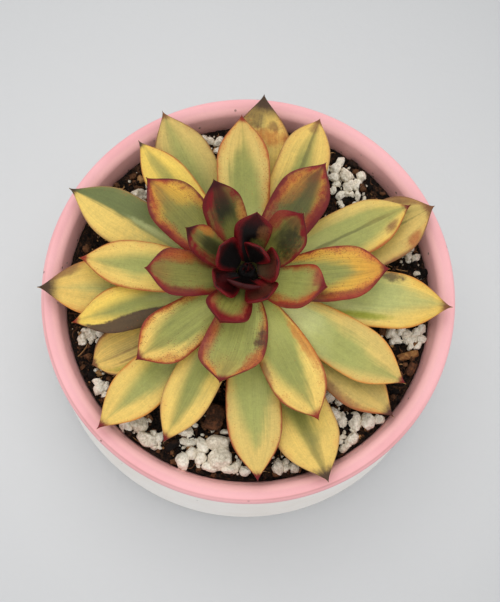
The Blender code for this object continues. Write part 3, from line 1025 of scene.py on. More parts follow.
# The paint of every leaf, in the same order.
PAINTS = (
    LeafPaint(green=Tint.GREEN, field=0.7, field_end=0.8, line=Tint.OLIVE, line_half=0.16,
              line_reach=(0.4, 1.1), line_strength=0.8, edge=Tint.TAN, tip=Tint.UMBER, tip_length=0.08),
    LeafPaint(green=Tint.KHAKI, field=0.7, edge=Tint.BROWN, left=0.04, tip=Tint.UMBER, tip_length=0.12,
              freckles=0.4, streaks=0.9,
              smudges=(Smudge(-0.2, 0.77, 0.9, 0.05, Tint.ORANGE, 0.8, 2.0),
                       Smudge(-0.9, 0.62, 0.16, 0.2, Tint.RUST),
                       Smudge(0.5, 0.85, 0.6, 0.05, Tint.UMBER, 0.7, 1.8),
                       Smudge(-0.5, 0.83, 0.3, 0.03, Tint.BROWN, 0.7, 1.8))),
    LeafPaint(base=Tint.STRAW, green=Tint.STRAW, edge=Tint.BROWN, left=0.06, right=0.06,
              tip=Tint.BROWN, tip_length=0.04, streaks=2.0, freckles=0.05, under=Tint.KHAKI,
              smudges=(Smudge(0.1, 0.5, 0.06, 0.5, Tint.BROWN, 0.5),
                       Smudge(0.7, 0.72, 0.15, 0.25, Tint.LIME, 0.6),
                       Smudge(0.45, 0.6, 0.06, 0.3, Tint.BROWN, 0.6))),
    LeafPaint(flesh=Tint.STRAW, base=Tint.SAGE, green=Tint.FERN, field=0.8, field_end=1.0, soft=0.4,
              halo=Tint.TAN, halo_strength=0.4, edge=Tint.BROWN, left=0.05),
    LeafPaint(flesh=Tint.STRAW, green=Tint.KHAKI, field=0.8, field_end=1.15, field_shift=0.35,
              line=Tint.MOSS, line_half=0.06, line_strength=0.8, edge=Tint.BROWN, right=0.06,
              tip_length=0.06,
              smudges=(Smudge(-0.75, 0.84, 0.25, 0.05, Tint.RUST),
                       Smudge(0.8, 0.86, 0.25, 0.12, Tint.BROWN, 0.8),
                       Smudge(0.0, 0.6, 0.05, 0.4, Tint.MOSS, 0.7, 0.8))),
    LeafPaint(field=0.5, field_end=0.8, soft=0.35, halo=Tint.ORANGE, tip=Tint.UMBER, tip_length=0.1,
              edge=Tint.ORANGE, smudges=(Smudge(-0.85, 0.86, 0.3, 0.09, Tint.BROWN),)),
    LeafPaint(flesh=Tint.STRAW, base=Tint.FERN, green=Tint.KHAKI, field=1.0, field_end=1.0,
              field_shift=0.25, soft=0.3, halo=Tint.ORANGE, right=0.08, tip=Tint.PLUM, tip_length=0.07,
              # The brown smudge on the right side is a painted shadow of the leaf that lies over it.
              smudges=(Smudge(-1.0, 0.55, 0.45, 0.35, Tint.BROWN, 0.8),)),
    LeafPaint(green=Tint.FERN, field=0.75, field_end=0.9, edge=Tint.ORANGE, tip=Tint.CRIMSON,
              tip_length=0.06),
    LeafPaint(field=1.2, field_end=1.0, field_shift=0.15, soft=0.35, edge=Tint.ORANGE, halo=Tint.GOLD,
              ripe=0.4, tip_length=0.06,
              smudges=(Smudge(-0.62, 0.5, 0.16, 0.19, Tint.LIME, 0.9, 0.8),
                       Smudge(0.82, 0.68, 0.22, 0.06, Tint.UMBER, 0.8, 2.5))),
    LeafPaint(green=Tint.GREY_GREEN, field=0.98, field_end=3.0, field_shift=-0.98, soft=0.1,
              edge=Tint.TAN, right=0.02, halo_strength=0.1, ripe=0.0, tip=Tint.UMBER,
              smudges=(Smudge(0.2, 0.12, 1.0, 0.45, Tint.SAGE, 0.9, 0.6),
                       Smudge(-0.2, 0.4, 0.14, 0.25, Tint.CELERY, 0.7))),
    LeafPaint(flesh=Tint.STRAW, base=Tint.SAGE, green=Tint.FERN, field=1.1, field_end=0.85, left=0.04,
              right=0.04, edge=Tint.RED, tip=Tint.CRIMSON),
    LeafPaint(green=Tint.GREEN, field=0.7, field_end=1.0, line=Tint.MOSS, line_half=0.08,
              line_strength=0.6, edge=Tint.TAN, tip_length=0.04,
              smudges=(Smudge(0.2, 0.95, 0.5, 0.05, Tint.BROWN, 0.8),)),
    LeafPaint(flesh=Tint.LEMON, green=Tint.GREEN, field=0.7, field_end=0.95, left=0.04, tip=Tint.RED,
              smudges=(Smudge(1.0, 0.54, 0.88, 0.46, Tint.UMBER, 0.97, 0.25, 0.2),)),
    LeafPaint(flesh=Tint.STRAW, green=Tint.FERN, field=1.0, field_end=1.0, field_shift=-0.22,
              edge=Tint.ORANGE, tip=Tint.CRIMSON),
    LeafPaint(flesh=Tint.LEMON, field=0.8, field_end=0.5, line=Tint.GREEN, line_half=0.26,
              line_reach=(0.45, 0.9), line_strength=0.8, left=0.04, right=0.04, tip=Tint.UMBER),
    LeafPaint(base=Tint.SAGE, green=Tint.GREEN, field=0.7, field_end=0.95, edge=Tint.TAN,
              tip=Tint.CRIMSON, tip_length=0.06),
    LeafPaint(base=Tint.SAGE, green=Tint.FERN, field=1.1, field_end=1.1, line=Tint.MOSS,
              line_half=0.06, line_strength=0.7, halo=Tint.GOLD, right=0.05, tip=Tint.CRIMSON,
              smudges=(Smudge(0.8, 0.6, 0.25, 0.4, Tint.STRAW, 0.7),
                       Smudge(-0.6, 0.84, 0.25, 0.05, Tint.BROWN))),
    LeafPaint(green=Tint.FERN, field=0.75, field_end=0.95, left=0.05, right=0.04, tip=Tint.RED,
              tip_length=0.06, freckles=0.35, smudges=(Smudge(0.9, 0.3, 0.2, 0.15, Tint.ORANGE, 0.6),)),
    LeafPaint(base=Tint.FERN, green=Tint.GREEN, field=1.0, field_end=0.95, edge=Tint.RED, left=0.05,
              right=0.05, tip=Tint.RED, tip_length=0.07, freckles=0.5,
              smudges=(Smudge(0.85, 0.5, 0.3, 0.2, Tint.ORANGE, 0.7, 2.5),
                       Smudge(-0.9, 0.45, 0.15, 0.2, Tint.BROWN))),
    LeafPaint(flesh=Tint.STRAW, base=Tint.SAGE, green=Tint.GREEN, field=0.95, field_end=0.9,
              halo=Tint.ORANGE, left=0.04, right=0.07, tip=Tint.RED, freckles=0.6),
    replace(RIPE, flesh=Tint.BUTTER, field=1.0, field_end=0.95, edge=Tint.RED, left=0.07, right=0.06,
            ripe=0.2, halo=Tint.ORANGE),
    replace(RIPE, field_end=0.8, left=0.07, right=0.12, edge=Tint.RED, halo=Tint.ORANGE,
            smudges=(Smudge(-0.8, 0.42, 0.35, 0.14, Tint.PLUM, 0.85),
                     Smudge(-0.85, 0.65, 0.2, 0.2, Tint.RED))),
    replace(RIPE, green=Tint.OLIVE, field=1.15, field_end=1.0, left=0.12,
            smudges=(Smudge(-0.5, 0.75, 0.45, 0.14, Tint.GOLD, 0.8),
                     Smudge(0.9, 0.4, 0.25, 0.3, Tint.RED, 0.8))),
    replace(RIPE, flesh=Tint.FERN, field=1.1, field_end=1.1, left=0.07, halo=Tint.ORANGE, ripe=0.3,
            smudges=(Smudge(0.85, 0.5, 0.3, 0.14, Tint.PLUM, 0.9, 2.5),
                     Smudge(-0.9, 0.5, 0.3, 0.3, Tint.ROSE),
                     Smudge(0.8, 0.75, 0.3, 0.12, Tint.RUST, 0.8, 2.5))),
    replace(RIPE, base=Tint.GREEN, green=Tint.MOSS, field=1.1, field_end=1.0, left=0.14, right=0.16,
            halo=Tint.RED, line=Tint.DARK_GREEN, line_half=0.3, line_reach=(0.4, 0.9),
            line_strength=0.35,
            smudges=(Smudge(0.5, 0.7, 0.4, 0.16, Tint.ORANGE, 0.4, 2.0),
                     Smudge(-0.6, 0.4, 0.3, 0.16, Tint.ORANGE, 0.5),
                     Smudge(-0.9, 0.6, 0.3, 0.3, Tint.CRIMSON, 0.8, 1.8))),
    # Its base is made darker than its green: painted shade low in the rosette.
    replace(RIPE, flesh=Tint.OLIVE, base=Tint.MOSS, green=Tint.OLIVE, field=1.0, field_end=1.0,
            right=0.14, halo=Tint.RED,
            smudges=(Smudge(-0.7, 0.62, 0.35, 0.2, Tint.RUST, 0.8),
                     Smudge(-0.8, 0.2, 0.5, 0.25, Tint.CRIMSON, 0.9),
                     Smudge(0.9, 0.6, 0.3, 0.36, Tint.CRIMSON, 0.9))),
    replace(RIPE, flesh=Tint.GREEN, field=1.2, field_end=1.0, left=0.07, right=0.16, edge=Tint.RED,
            tip_length=0.12, freckles=0.5, smudges=(Smudge(0.5, 0.85, 0.5, 0.1, Tint.ROSE, 0.8),)),
    replace(RIPE, flesh=Tint.OLIVE, base=Tint.OLIVE, green=Tint.MOSS, field=1.0, field_end=1.0,
            left=0.2, right=0.12, halo=Tint.CRIMSON, line=Tint.NIGHT, line_half=0.5,
            line_reach=(0.5, 1.0), line_strength=0.85, tip=Tint.WINE, tip_length=0.12, freckles=0.5,
            gloss=0.2,
            smudges=(Smudge(-0.8, 0.5, 0.3, 0.18, Tint.APRICOT, 0.6, 1.8),
                     Smudge(0.6, 0.42, 0.25, 0.12, Tint.ROSE, 0.8, 1.8))),
    # Its base is made darker than its green: painted shade low in the rosette.
    replace(RIPE, flesh=Tint.OLIVE, base=Tint.MOSS, green=Tint.OLIVE, field=1.2, field_end=1.2,
            left=0.16, right=0.16, halo=Tint.ROSE, tip_length=0.24, under=Tint.CRIMSON, freckles=0.6,
            gloss=0.2),
    replace(RIPE, flesh=Tint.OLIVE, base=Tint.OLIVE, green=Tint.OLIVE, field=1.0, field_end=1.1,
            left=0.12, right=0.16, halo=Tint.CRIMSON, line=Tint.DARK_GREEN, line_half=0.4,
            line_reach=(0.4, 0.9), line_strength=0.7, tip_length=0.1, freckles=0.5, gloss=0.2,
            smudges=(Smudge(0.8, 0.65, 0.35, 0.25, Tint.ROSE, 0.9, 2.0),
                     Smudge(-0.35, 0.55, 0.45, 0.3, Tint.DARK_GREEN, 0.9, 2.0))),
    replace(RIPE, flesh=Tint.OLIVE, base=Tint.MOSS, green=Tint.MOSS, left=0.2, right=0.08,
            halo=Tint.CRIMSON, line=Tint.NIGHT, line_half=0.5, line_reach=(0.2, 0.7), line_strength=0.7,
            tip=Tint.WINE, tip_length=0.12, under=Tint.WINE, freckles=0.3, gloss=0.2,
            smudges=(Smudge(-0.7, 0.72, 0.3, 0.14, Tint.ORANGE, 0.6, 2.0),
                     Smudge(-0.2, 0.9, 0.5, 0.06, Tint.RED))),
    replace(YOUNG, flesh=Tint.PLUM, green=Tint.PLUM, base=Tint.CRIMSON),
    replace(YOUNG, left=0.12, smudges=(Smudge(-0.6, 0.58, 0.4, 0.2, Tint.BROWN, 0.6, 2.0),
                                       Smudge(-0.4, 0.25, 0.6, 0.22, Tint.OLIVE, 0.6))),
    replace(YOUNG, green=Tint.WINE),
    replace(YOUNG, flesh=Tint.PLUM, green=Tint.PLUM, base=Tint.UMBER),
    YOUNG,
    replace(YOUNG, edge=Tint.WINE, under=Tint.WINE),
    replace(YOUNG, left=0.08, right=0.12),
)


@dataclass(frozen=True)
class PotFinish:
    """Satin skin of a pot: two close colours in soft clouds, and a film of soil dust and painted shade low
    down.
    """

    relief_depth: ClassVar[float] = 0.00006
    inside_blend: ClassVar[float] = 1.5
    seam_shade_half: ClassVar[tuple[float, float]] = (0.1, 0.4)
    speck_cells: ClassVar[float] = 700.0

    light: Tint
    deep: Tint
    inside: Tint
    dust_and_shade: Tint
    dust_and_shade_top: float
    dust_and_shade_foot: float
    roughness: float
    speck: Tint = Tint.PEAT
    inside_radius: float = 62.5
    seam_shade_radius: float = 64.3
    seam_shade_strength: float = 0.0

    def material(self, name: str) -> bpy.types.Material:
        """Skin in two close colours, with a film of soil dust and painted shade between its foot and its
        top height.

        The skin is made paler inside than outside, painted light on the inner wall, and a thin line of
        painted shade may follow the lip in front. The film is thicker towards the back and the right of
        the pot, painted shade where the inner walls face away from the lamp, and specks of soil lie on it.

        Args:
            name: the material's name.

        Returns:
            The finished material.
        """
        bench = Bench(name)
        side, back, height = bench.split(bench.place)
        radius = (side * side + back * back).math("SQRT")
        clouds = bench.noise(bench.place, 38, 4, 0.55)
        grain = bench.noise(bench.place, 900, 3, 0.6)
        colour = (clouds * 1.4 + 0.45).rise(0.2, 0.9).mix(self.light, self.deep)
        inner, outer = (self.inside_radius - self.inside_blend) * MM, self.inside_radius * MM
        # Painted light: within the inside radius the skin takes the paler inside colour.
        colour = radius.fall(inner, outer).mix(colour, self.inside)
        # Painted shade: a thin darker line along the lip, in front only.
        if self.seam_shade_strength > 0:
            full, none = (half * MM for half in self.seam_shade_half)
            ring = abs(radius - self.seam_shade_radius * MM).fall(full, none) * self.seam_shade_strength
            front = (back + side * 0.4).fall(-0.05, 0.01)
            colour = (ring * front * (clouds + 0.8)).mix(colour, self.dust_and_shade)
        # Soil dust with painted shade: low on the skin, thicker towards the back and the right, where the
        # inner walls face away from the lamp.
        low_band = (height + clouds * 0.006 + grain * 0.002).fall(self.dust_and_shade_foot * MM, self.dust_and_shade_top * MM)
        painted_shade_to_back = (back * 9 + side * 5 + clouds * 0.8 + 0.1).at_least(0.06).at_most(1.0)
        colour = (low_band * painted_shade_to_back * 0.6).mix(colour, self.dust_and_shade)
        distance, chance = bench.cells(bench.place, self.speck_cells)
        common = (low_band * 0.16 + 0.008) * (clouds + 0.7)
        specks = distance.fall(0.15, 0.4) * (common - chance).rise(-0.002, 0.004)
        colour = (specks * 0.8).mix(colour, self.speck)
        shade = grain * 0.06 + clouds * 0.06 + 1.0
        sheen = clouds * 0.2 + grain * 0.15 + self.roughness
        return bench.finish(colour.brighten(shade), sheen, grain + clouds, self.relief_depth)


@dataclass(frozen=True)
class Pot:
    """A white outer pot with a pink lining whose rounded lip stands on its rim."""

    rim_height: float = 55.0
    lip_radius: float = 65.0
    lip_depth: float = 4.0
    lip_round: float = 1.5
    lip_roll: tuple[float, float] = (4.2, 2.6)
    wall_swell: float = 0.2
    lip_flare: float = 0.6
    lip_under_round: float = 0.5
    lip_line: float = 0.35
    lip_line_drop: float = 0.3
    body_radius: float = 63.2
    body_edge: float = 1.0
    foot_round: float = 7.0
    body_wall: float = 2.6
    body_floor: float = 3.0
    liner_wall: float = 1.6
    liner_floor: float = 2.0
    liner_foot_radius: float = 52.0
    throat_radius: float = 57.4
    soil_top: float = 47.0
    gap: float = 0.3
    around: int = 240
    pink: PotFinish = PotFinish(Tint.PINK, Tint.PINK_DEEP, Tint.PINK_PAINTED_LIGHT, Tint.DUST_AND_SHADE, dust_and_shade_top=54.5,
                                dust_and_shade_foot=46.0, roughness=0.42, seam_shade_strength=0.35)
    white: PotFinish = PotFinish(Tint.WHITE_CLAY, Tint.WHITE_WARM, Tint.WHITE_CLAY, Tint.TAN,
                                 dust_and_shade_top=1.5, dust_and_shade_foot=-2.0, roughness=0.45)

    def body_profile(self) -> Array:
        """The outer pot's outline: up its inside, over a rounded rim, down and round its foot.

        Returns:
            Radius and height of each point, from the middle of the floor to that of the underside.
        """
        top = self.rim_height - self.lip_depth - self.gap
        inner = self.body_radius - self.body_wall
        inner_foot = self.liner_foot_radius + self.body_edge + self.gap
        edge = self.body_edge
        wall = np.array([[0, self.body_floor], [inner_foot, self.body_floor], [inner, top]])
        rim = arc((self.body_radius - edge, top - edge), edge, 90, 0, 8)
        foot = arc((self.body_radius - self.foot_round, self.foot_round), self.foot_round, 0, -90, 18)
        return np.concatenate([wall, rim, foot, [[0, 0]]])

    def roll(self) -> Array:
        """Radius and height up the lip's inner half, a part of an ellipse from the wall to the crest."""
        centre = np.array([self.lip_radius - self.lip_round, self.rim_height - self.lip_roll[1]])
        return arc((0, 0), 1.0, 165, 90, 16) * np.array(self.lip_roll) + centre

    def liner_inside(self) -> Array:
        """The lining's inner wall, which swells inwards by half a sine down to the throat.

        Returns:
            Radius and height of each point, from the lip to the floor.
        """
        upper = self.roll()[0]
        throat = np.array([self.throat_radius, self.soil_top - self.lip_flare])
        share = np.linspace(0, 1, 9)[:, None]
        wall = upper + (throat - upper) * share
        wall[:, 0] -= self.wall_swell * np.sin(np.pi * share[:, 0])
        foot = [[self.liner_foot_radius - self.liner_wall, self.body_floor + self.gap + self.liner_floor]]
        return np.concatenate([wall, foot])

    def liner_profile(self) -> Array:
        """The lining's outline: up its inside, over its lip with a fine seam line, down its outside.

        Returns:
            Radius and height of each point, from the middle of the floor to that of the underside.
        """
        under = self.rim_height - self.lip_depth
        floor = self.body_floor + self.gap
        wall_top = self.body_radius - self.body_wall - 2 * self.gap
        bead = self.lip_under_round
        crest = self.rim_height - self.lip_round
        line = crest - self.lip_line_drop
        shoulder = arc((self.lip_radius - self.lip_round, crest), self.lip_round, 90, 0, 10)
        seam = [[self.lip_radius, line], [self.lip_radius - self.lip_line, line - self.lip_line],
                [self.lip_radius, line - 2 * self.lip_line]]
        under_edge = arc((self.lip_radius - bead, under + bead), bead, 0, -90, 5)
        lip = np.concatenate([self.roll()[1:-1], shoulder, seam, under_edge])
        outside = [[wall_top, under], [self.liner_foot_radius, floor + self.liner_floor],
                   [self.liner_foot_radius - self.liner_floor, floor], [0, floor]]
        return np.concatenate([[[0, floor + self.liner_floor]], self.liner_inside()[::-1], lip, outside])

    def turned(self, profile: Array) -> Body:
        """A body turned from a profile that starts and ends on the axis: radius by cosine and sine.

        Args:
            profile: radius and height of each point.

        Returns:
            The points and triangles.
        """
        rings = circles(profile[1:-1, :1], profile[1:-1, 1:], full_turn(self.around))
        first, last = (np.array([0, 0, profile[end, 1]]) for end in (0, -1))
        return wrap(rings, first, last)

    def refine(self, profile: Array, longest: float = 2.5) -> Array:
        """Add points to a profile, evenly along each stretch that is too long.

        Args:
            profile: radius and height of each point.
            longest: the length that no stretch may pass.

        Returns:
            The profile with the points added.
        """
        lengths = np.linalg.norm(np.diff(profile, axis=0), axis=1)
        counts = np.maximum(1, np.ceil(lengths / longest)).astype(int)
        stations = np.concatenate([[0.0], np.cumsum(np.repeat(1 / counts, counts))])
        whole = np.arange(len(profile))
        return np.stack([np.interp(stations, whole, profile[:, k]) for k in range(2)], axis=1)

    def build(self) -> None:
        """Turn both shells and finish them."""
        for name, slot, profile, finish in (("pot_body", "white_pot", self.body_profile(), self.white),
                                            ("pot_liner", "pink_pot", self.liner_profile(), self.pink)):
            points, faces = self.turned(self.refine(profile))
            add_piece(name, points, faces, finish.material(slot), slot, [name])


POT = Pot()


@dataclass(frozen=True)
class LooseFinish:
    """Finish of loose matter, whose lumps carry a chance value that picks their colour."""

    gloss: ClassVar[float] = 0.25
    cloud_size: ClassVar[float] = 4.0

    dark: Tint
    middle: Tint
    light: Tint
    light_share: float = 0.1
    roughness: float = 0.92
    depth: float = 0.0004
    scale: float = 900.0

    def material(self, name: str) -> bpy.types.Material:
        """Dark to middle by the lump's chance value and noise, light on the share that is palest.

        Args:
            name: the material's name.

        Returns:
            The finished material.
        """
        bench = Bench(name)
        chance, _, _ = bench.split(bench.attribute("chance"))
        clouds = bench.noise(bench.place, self.scale / self.cloud_size, 4, 0.6)
        grain = bench.noise(bench.place, self.scale, 4, 0.65)
        colour = (chance + clouds * 0.9 + grain).rise(0.3, 0.95).mix(self.dark, self.middle)
        pale = (chance + grain * 0.15).rise(1.0 - self.light_share, 1.02 - self.light_share)
        colour = pale.mix(colour, self.light).brighten(grain * 0.7 + clouds * 0.4 + 1.0)
        return bench.finish(colour, grain * 0.1 + self.roughness, grain + clouds, self.depth, self.gloss)


@dataclass(frozen=True)
class Soil:
    """Dark peaty mix: a crumbly top, loose crumbs, fibres and pale specks."""

    bed_chance: ClassVar[float] = 0.42
    wall_gap: ClassVar[float] = 0.8
    crown_radius: ClassVar[float] = 14.0
    sunk: ClassVar[float] = 0.3
    dented: ClassVar[float] = 0.18
    fibre_length: ClassVar[tuple[float, float]] = (1.0, 5.5)
    fibre_curl: ClassVar[float] = 0.8
    fibre_radius: ClassVar[tuple[float, float]] = (0.1, 0.24)
    fibre_lift: ClassVar[float] = 0.35

    top: float = POT.soil_top
    floor: float = POT.body_floor + 2 * POT.gap + POT.liner_floor
    foot_radius: float = POT.liner_foot_radius - POT.liner_wall - POT.gap
    edge_radius: float = POT.throat_radius - 0.1
    rings: int = 110
    around: int = 360
    crumbs: int = 2600
    fibres: int = 260
    specks: int = 420
    seed: int = 11
    peat: LooseFinish = LooseFinish(Tint.PEAT_DARK, Tint.PEAT, Tint.PEAT_RED, scale=1400.0)
    litter: LooseFinish = LooseFinish(Tint.PEAT_DARK, Tint.PEAT_RED, Tint.FIBRE, 0.05, scale=1400.0)
    strands: LooseFinish = LooseFinish(Tint.PEAT, Tint.PEAT_RED, Tint.FIBRE, 0.35)
    pale: LooseFinish = LooseFinish(Tint.PEARL_SHADE, Tint.PEARL, Tint.FIBRE, 0.25)

    def height(self, places: Array) -> Array:
        """Height of the soil: four sizes of rolling noise, two of them folded so that lumps stand up.

        Args:
            places: x and y, one place in each row.

        Returns:
            Millimetres above the pot's underside.
        """
        broad = smooth_noise(places, 26, self.seed)
        lumps = np.abs(smooth_noise(places, 7, self.seed + 1))
        crumb = np.abs(smooth_noise(places, 2.6, self.seed + 2))
        grit = smooth_noise(places, 1.1, self.seed + 3)
        return self.top - 0.5 + 0.35 * broad + 0.8 * lumps + 0.6 * crumb + 0.16 * grit

    def bed(self) -> None:
        """The body of the mix: a disc in polar coordinates with the height above, closed underneath."""
        turn = full_turn(self.around)
        top = circles(np.linspace(0, self.edge_radius, self.rings + 1)[1:, None], 0.0, turn)
        top[..., 2] = self.height(top[..., :2].reshape(-1, 2)).reshape(top.shape[:2])
        foot = circles(self.foot_radius, self.floor, turn)
        points, faces = wrap(np.concatenate([top, foot]), np.array([0, 0, self.top]),
                             np.array([0, 0, self.floor]))
        add_piece("potting_mix", points, faces, self.peat.material("peat"), "soil", ["potting_mix"],
                  {"chance": np.full((len(points), 3), self.bed_chance)})

    def scatter(self, draw: np.random.Generator, count: int) -> Array:
        """Random places on the soil, evenly spread over the ring between the crown and the wall.

        Args:
            draw: source of chance.
            count: how many.

        Returns:
            x and y, one place in each row.
        """
        outer = self.edge_radius - self.wall_gap
        radius = np.sqrt(draw.uniform(self.crown_radius ** 2, outer ** 2, count))
        turn = draw.uniform(0, 2 * np.pi, count)
        return np.stack([radius * np.cos(turn), radius * np.sin(turn)], axis=-1)

    def lumps(self, name: str, count: int, sizes: tuple[float, float], finish: LooseFinish, slot: str,
              seed: int, rows: int = 3, around: int = 6) -> None:
        """Small irregular lumps lying on the soil, most of them near the smaller size.

        Args:
            name: name of the piece.
            count: how many.
            sizes: smallest and largest half width.
            finish: their finish.
            slot: handed on to add_piece.
            seed: number that fixes the draw.
            rows: rings in a lump.
            around: points in a ring.
        """
        draw = np.random.default_rng(seed)
        points, faces = ball(rows, around)
        size = sizes[0] + (sizes[1] - sizes[0]) * draw.uniform(0, 1, count) ** 3
        shape = draw.uniform(0.55, 1.25, (count, 3)) * size[:, None]
        turns = np.einsum("nij,nj->nij", random_turns(draw, count), shape)
        ground = self.scatter(draw, count)
        places = np.concatenate([ground, (self.height(ground) + self.sunk * size)[:, None]], axis=1)
        copies = np.einsum("nij,pj->npi", turns, points) + places[:, None]
        made, triangles = alike(copies, faces)
        made += self.dented * np.repeat(size, len(points))[:, None] * draw.normal(size=made.shape)
        add_piece(name, made, triangles, finish.material(name), slot, (),
                  {"chance": self.chances(draw, count, len(points))})

    def chances(self, draw: np.random.Generator, count: int, each: int) -> Array:
        """A chance value for every lump or strand, at each of its points."""
        return np.repeat(draw.uniform(0, 1, (count, 1)), each, axis=0) * np.ones(3)

    def strew_fibres(self) -> None:
        """Thin strands: each a tube whose axis is an arc on the soil, tapered to both ends."""
        draw = np.random.default_rng(self.seed + 5)
        count, steps, sides = self.fibres, 9, 4
        share = np.linspace(-1, 1, steps)[None, :, None]
        length = draw.uniform(*self.fibre_length, (count, 1, 1))
        heading = draw.uniform(0, np.pi, (count, 1, 1))
        curl = draw.normal(0, self.fibre_curl, (count, 1, 1))
        angle = heading + curl * share
        flow = np.concatenate([np.cos(angle), np.sin(angle)], axis=-1) * length / steps * 2
        ground = np.cumsum(flow, axis=1) - flow.sum(axis=1, keepdims=True) / 2
        ground = ground + self.scatter(draw, count)[:, None]
        far = np.hypot(ground[..., 0], ground[..., 1])
        ground *= np.minimum(1, (self.edge_radius - self.wall_gap) / far)[..., None]
        level = self.height(ground.reshape(-1, 2)).reshape(count, steps)
        level = (level + level.mean(axis=1, keepdims=True)) / 2 + self.fibre_lift
        axis = np.concatenate([ground, level[..., None]], axis=-1)
        thick = draw.uniform(*self.fibre_radius, (count, 1, 1, 1)) * np.sqrt(1.05 - share[..., None] ** 2)
        turn = full_turn(sides).reshape(1, 1, sides, 1)
        across = np.concatenate([-np.sin(angle), np.cos(angle), np.zeros_like(angle)], axis=-1)
        ring = across[:, :, None] * np.cos(turn) + np.array([0, 0, 1.0]) * np.sin(turn)
        tubes = axis[:, :, None] + thick * ring
        _, faces = wrap(tubes[0], axis[0, 0], axis[0, -1])
        copies = np.concatenate([axis[:, :1], tubes.reshape(count, -1, 3), axis[:, -1:]], axis=1)
        points, triangles = alike(copies, faces)
        add_piece("peat_fibres", points, triangles, self.strands.material("fibres"), "soil", (),
                  {"chance": self.chances(draw, count, copies.shape[1])})

    def build(self) -> None:
        """Lay the bed, then strew it."""
        self.bed()
        self.lumps("peat_crumbs", self.crumbs, (0.35, 1.6), self.litter, "soil", self.seed + 7)
        self.lumps("pale_specks", self.specks, (0.2, 0.75), self.pale, "perlite", self.seed + 9)
        self.strew_fibres()


SOIL = Soil()


@dataclass(frozen=True)
class Perlite:
    """White popped grains that lie on the soil in loose patches, given as x, y and radius."""

    longest: ClassVar[float] = 1.3
    squat: ClassVar[float] = 0.85
    root: ClassVar[float] = 0.6
    bit_sizes: ClassVar[tuple[float, float]] = (0.3, 1.4)
    bit_reach: ClassVar[tuple[float, float]] = (0.9, 2.3)
    wall_gap: ClassVar[float] = 2.0
    chances: ClassVar[tuple[float, float]] = (0.5, 0.94)

    seat: float = POT.soil_top + POT.gap
    rows: int = 20
    around: int = 32
    bit_rows: int = 9
    bit_around: int = 14
    cuts: int = 11
    sharp: float = 40.0
    bits: int = 6
    seed: int = 21
    white: LooseFinish = LooseFinish(Tint.PEARL_SHADE, Tint.PEARL, Tint.PEARL, 0.05, 0.85, 0.0003, 1300.0)

    def grain(self, x: float, y: float, radius: float, draw: np.random.Generator, rows: int,
              around: int) -> Body:
        """A broken popped grain: a ball cut by planes on all sides, with a pitted skin.

        In each direction the skin lies where a ray from the middle meets the first plane,
        h / (n.d) for a plane at distance h with the normal n and the direction d. The least is
        taken softly, as the sum of (n.d / h)^p to the power -1 / p, which rounds the corners.

        Args:
            x: place of the grain.
            y: place of the grain.
            radius: half its width.
            draw: source of chance.
            rows: rings of the ball.
            around: points in a ring.

        Returns:
            Its points and triangles, flat where it lies on the soil.
        """
        ways, faces = ball(rows, around)
        normals = draw.normal(size=(self.cuts, 3))
        normals /= np.linalg.norm(normals, axis=1, keepdims=True)
        nearness = np.maximum(ways @ normals.T, 0) / draw.uniform(0.6, 1.0, self.cuts)
        skin = 1 / np.maximum((nearness ** self.sharp).sum(axis=1), 0.25) ** (1 / self.sharp)
        number = int(draw.integers(10 ** 6))
        pits = smooth_noise(ways, 0.6, number) * 0.05 + smooth_noise(ways, 0.25, number + 1) * 0.04
        turn = draw.uniform(0, np.pi)
        stretch = draw.uniform(1.0, self.longest)
        shape = radius * np.array([stretch, 1 / stretch, self.squat])
        points = ways * (skin + pits)[:, None] * shape @ spin(turn)
        points += np.array([x, y, self.seat + 0.5 * radius])
        points[:, 2] = np.maximum(points[:, 2], self.seat - self.root)
        return points, faces

    def patch(self, name: str, grains: Sequence[tuple[float, float, float]],
              stands_for: Sequence[str]) -> None:
        """All grains of one patch as one piece, with a few broken bits round each of them.

        Args:
            name: name of the piece.
            grains: x, y and radius of each grain.
            stands_for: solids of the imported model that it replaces.
        """
        draw = np.random.default_rng(self.seed + len(name) * 7 + len(grains))
        whole = np.array(grains)
        near = np.repeat(whole, self.bits, axis=0)
        turn = draw.uniform(0, 2 * np.pi, len(near))
        away = near[:, 2] * draw.uniform(*self.bit_reach, len(near))
        least, most = self.bit_sizes
        sizes = least + (most - least) * draw.uniform(0, 1, len(near)) ** 1.5
        bits = np.stack([near[:, 0] + away * np.cos(turn), near[:, 1] + away * np.sin(turn), sizes], axis=1)
        inside = np.hypot(bits[:, 0], bits[:, 1]) < POT.throat_radius - self.wall_gap
        made = [self.grain(*grain, draw, self.rows, self.around) for grain in whole]
        made += [self.grain(*bit, draw, self.bit_rows, self.bit_around) for bit in bits[inside]]
        chance = [np.full((len(points), 3), draw.uniform(*self.chances)) for points, _ in made]
        add_piece(name, *together(made), self.white.material(name), "perlite", stands_for,
                  {"chance": np.concatenate(chance)})

    def build(self) -> None:
        """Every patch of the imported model, and the few stray grains beside them."""
        for place, grains in PERLITE_PATCHES.items():
            self.patch("perlite_" + place, grains, ["perlite_" + place])
        self.patch("perlite_stray", PERLITE_STRAY, ())


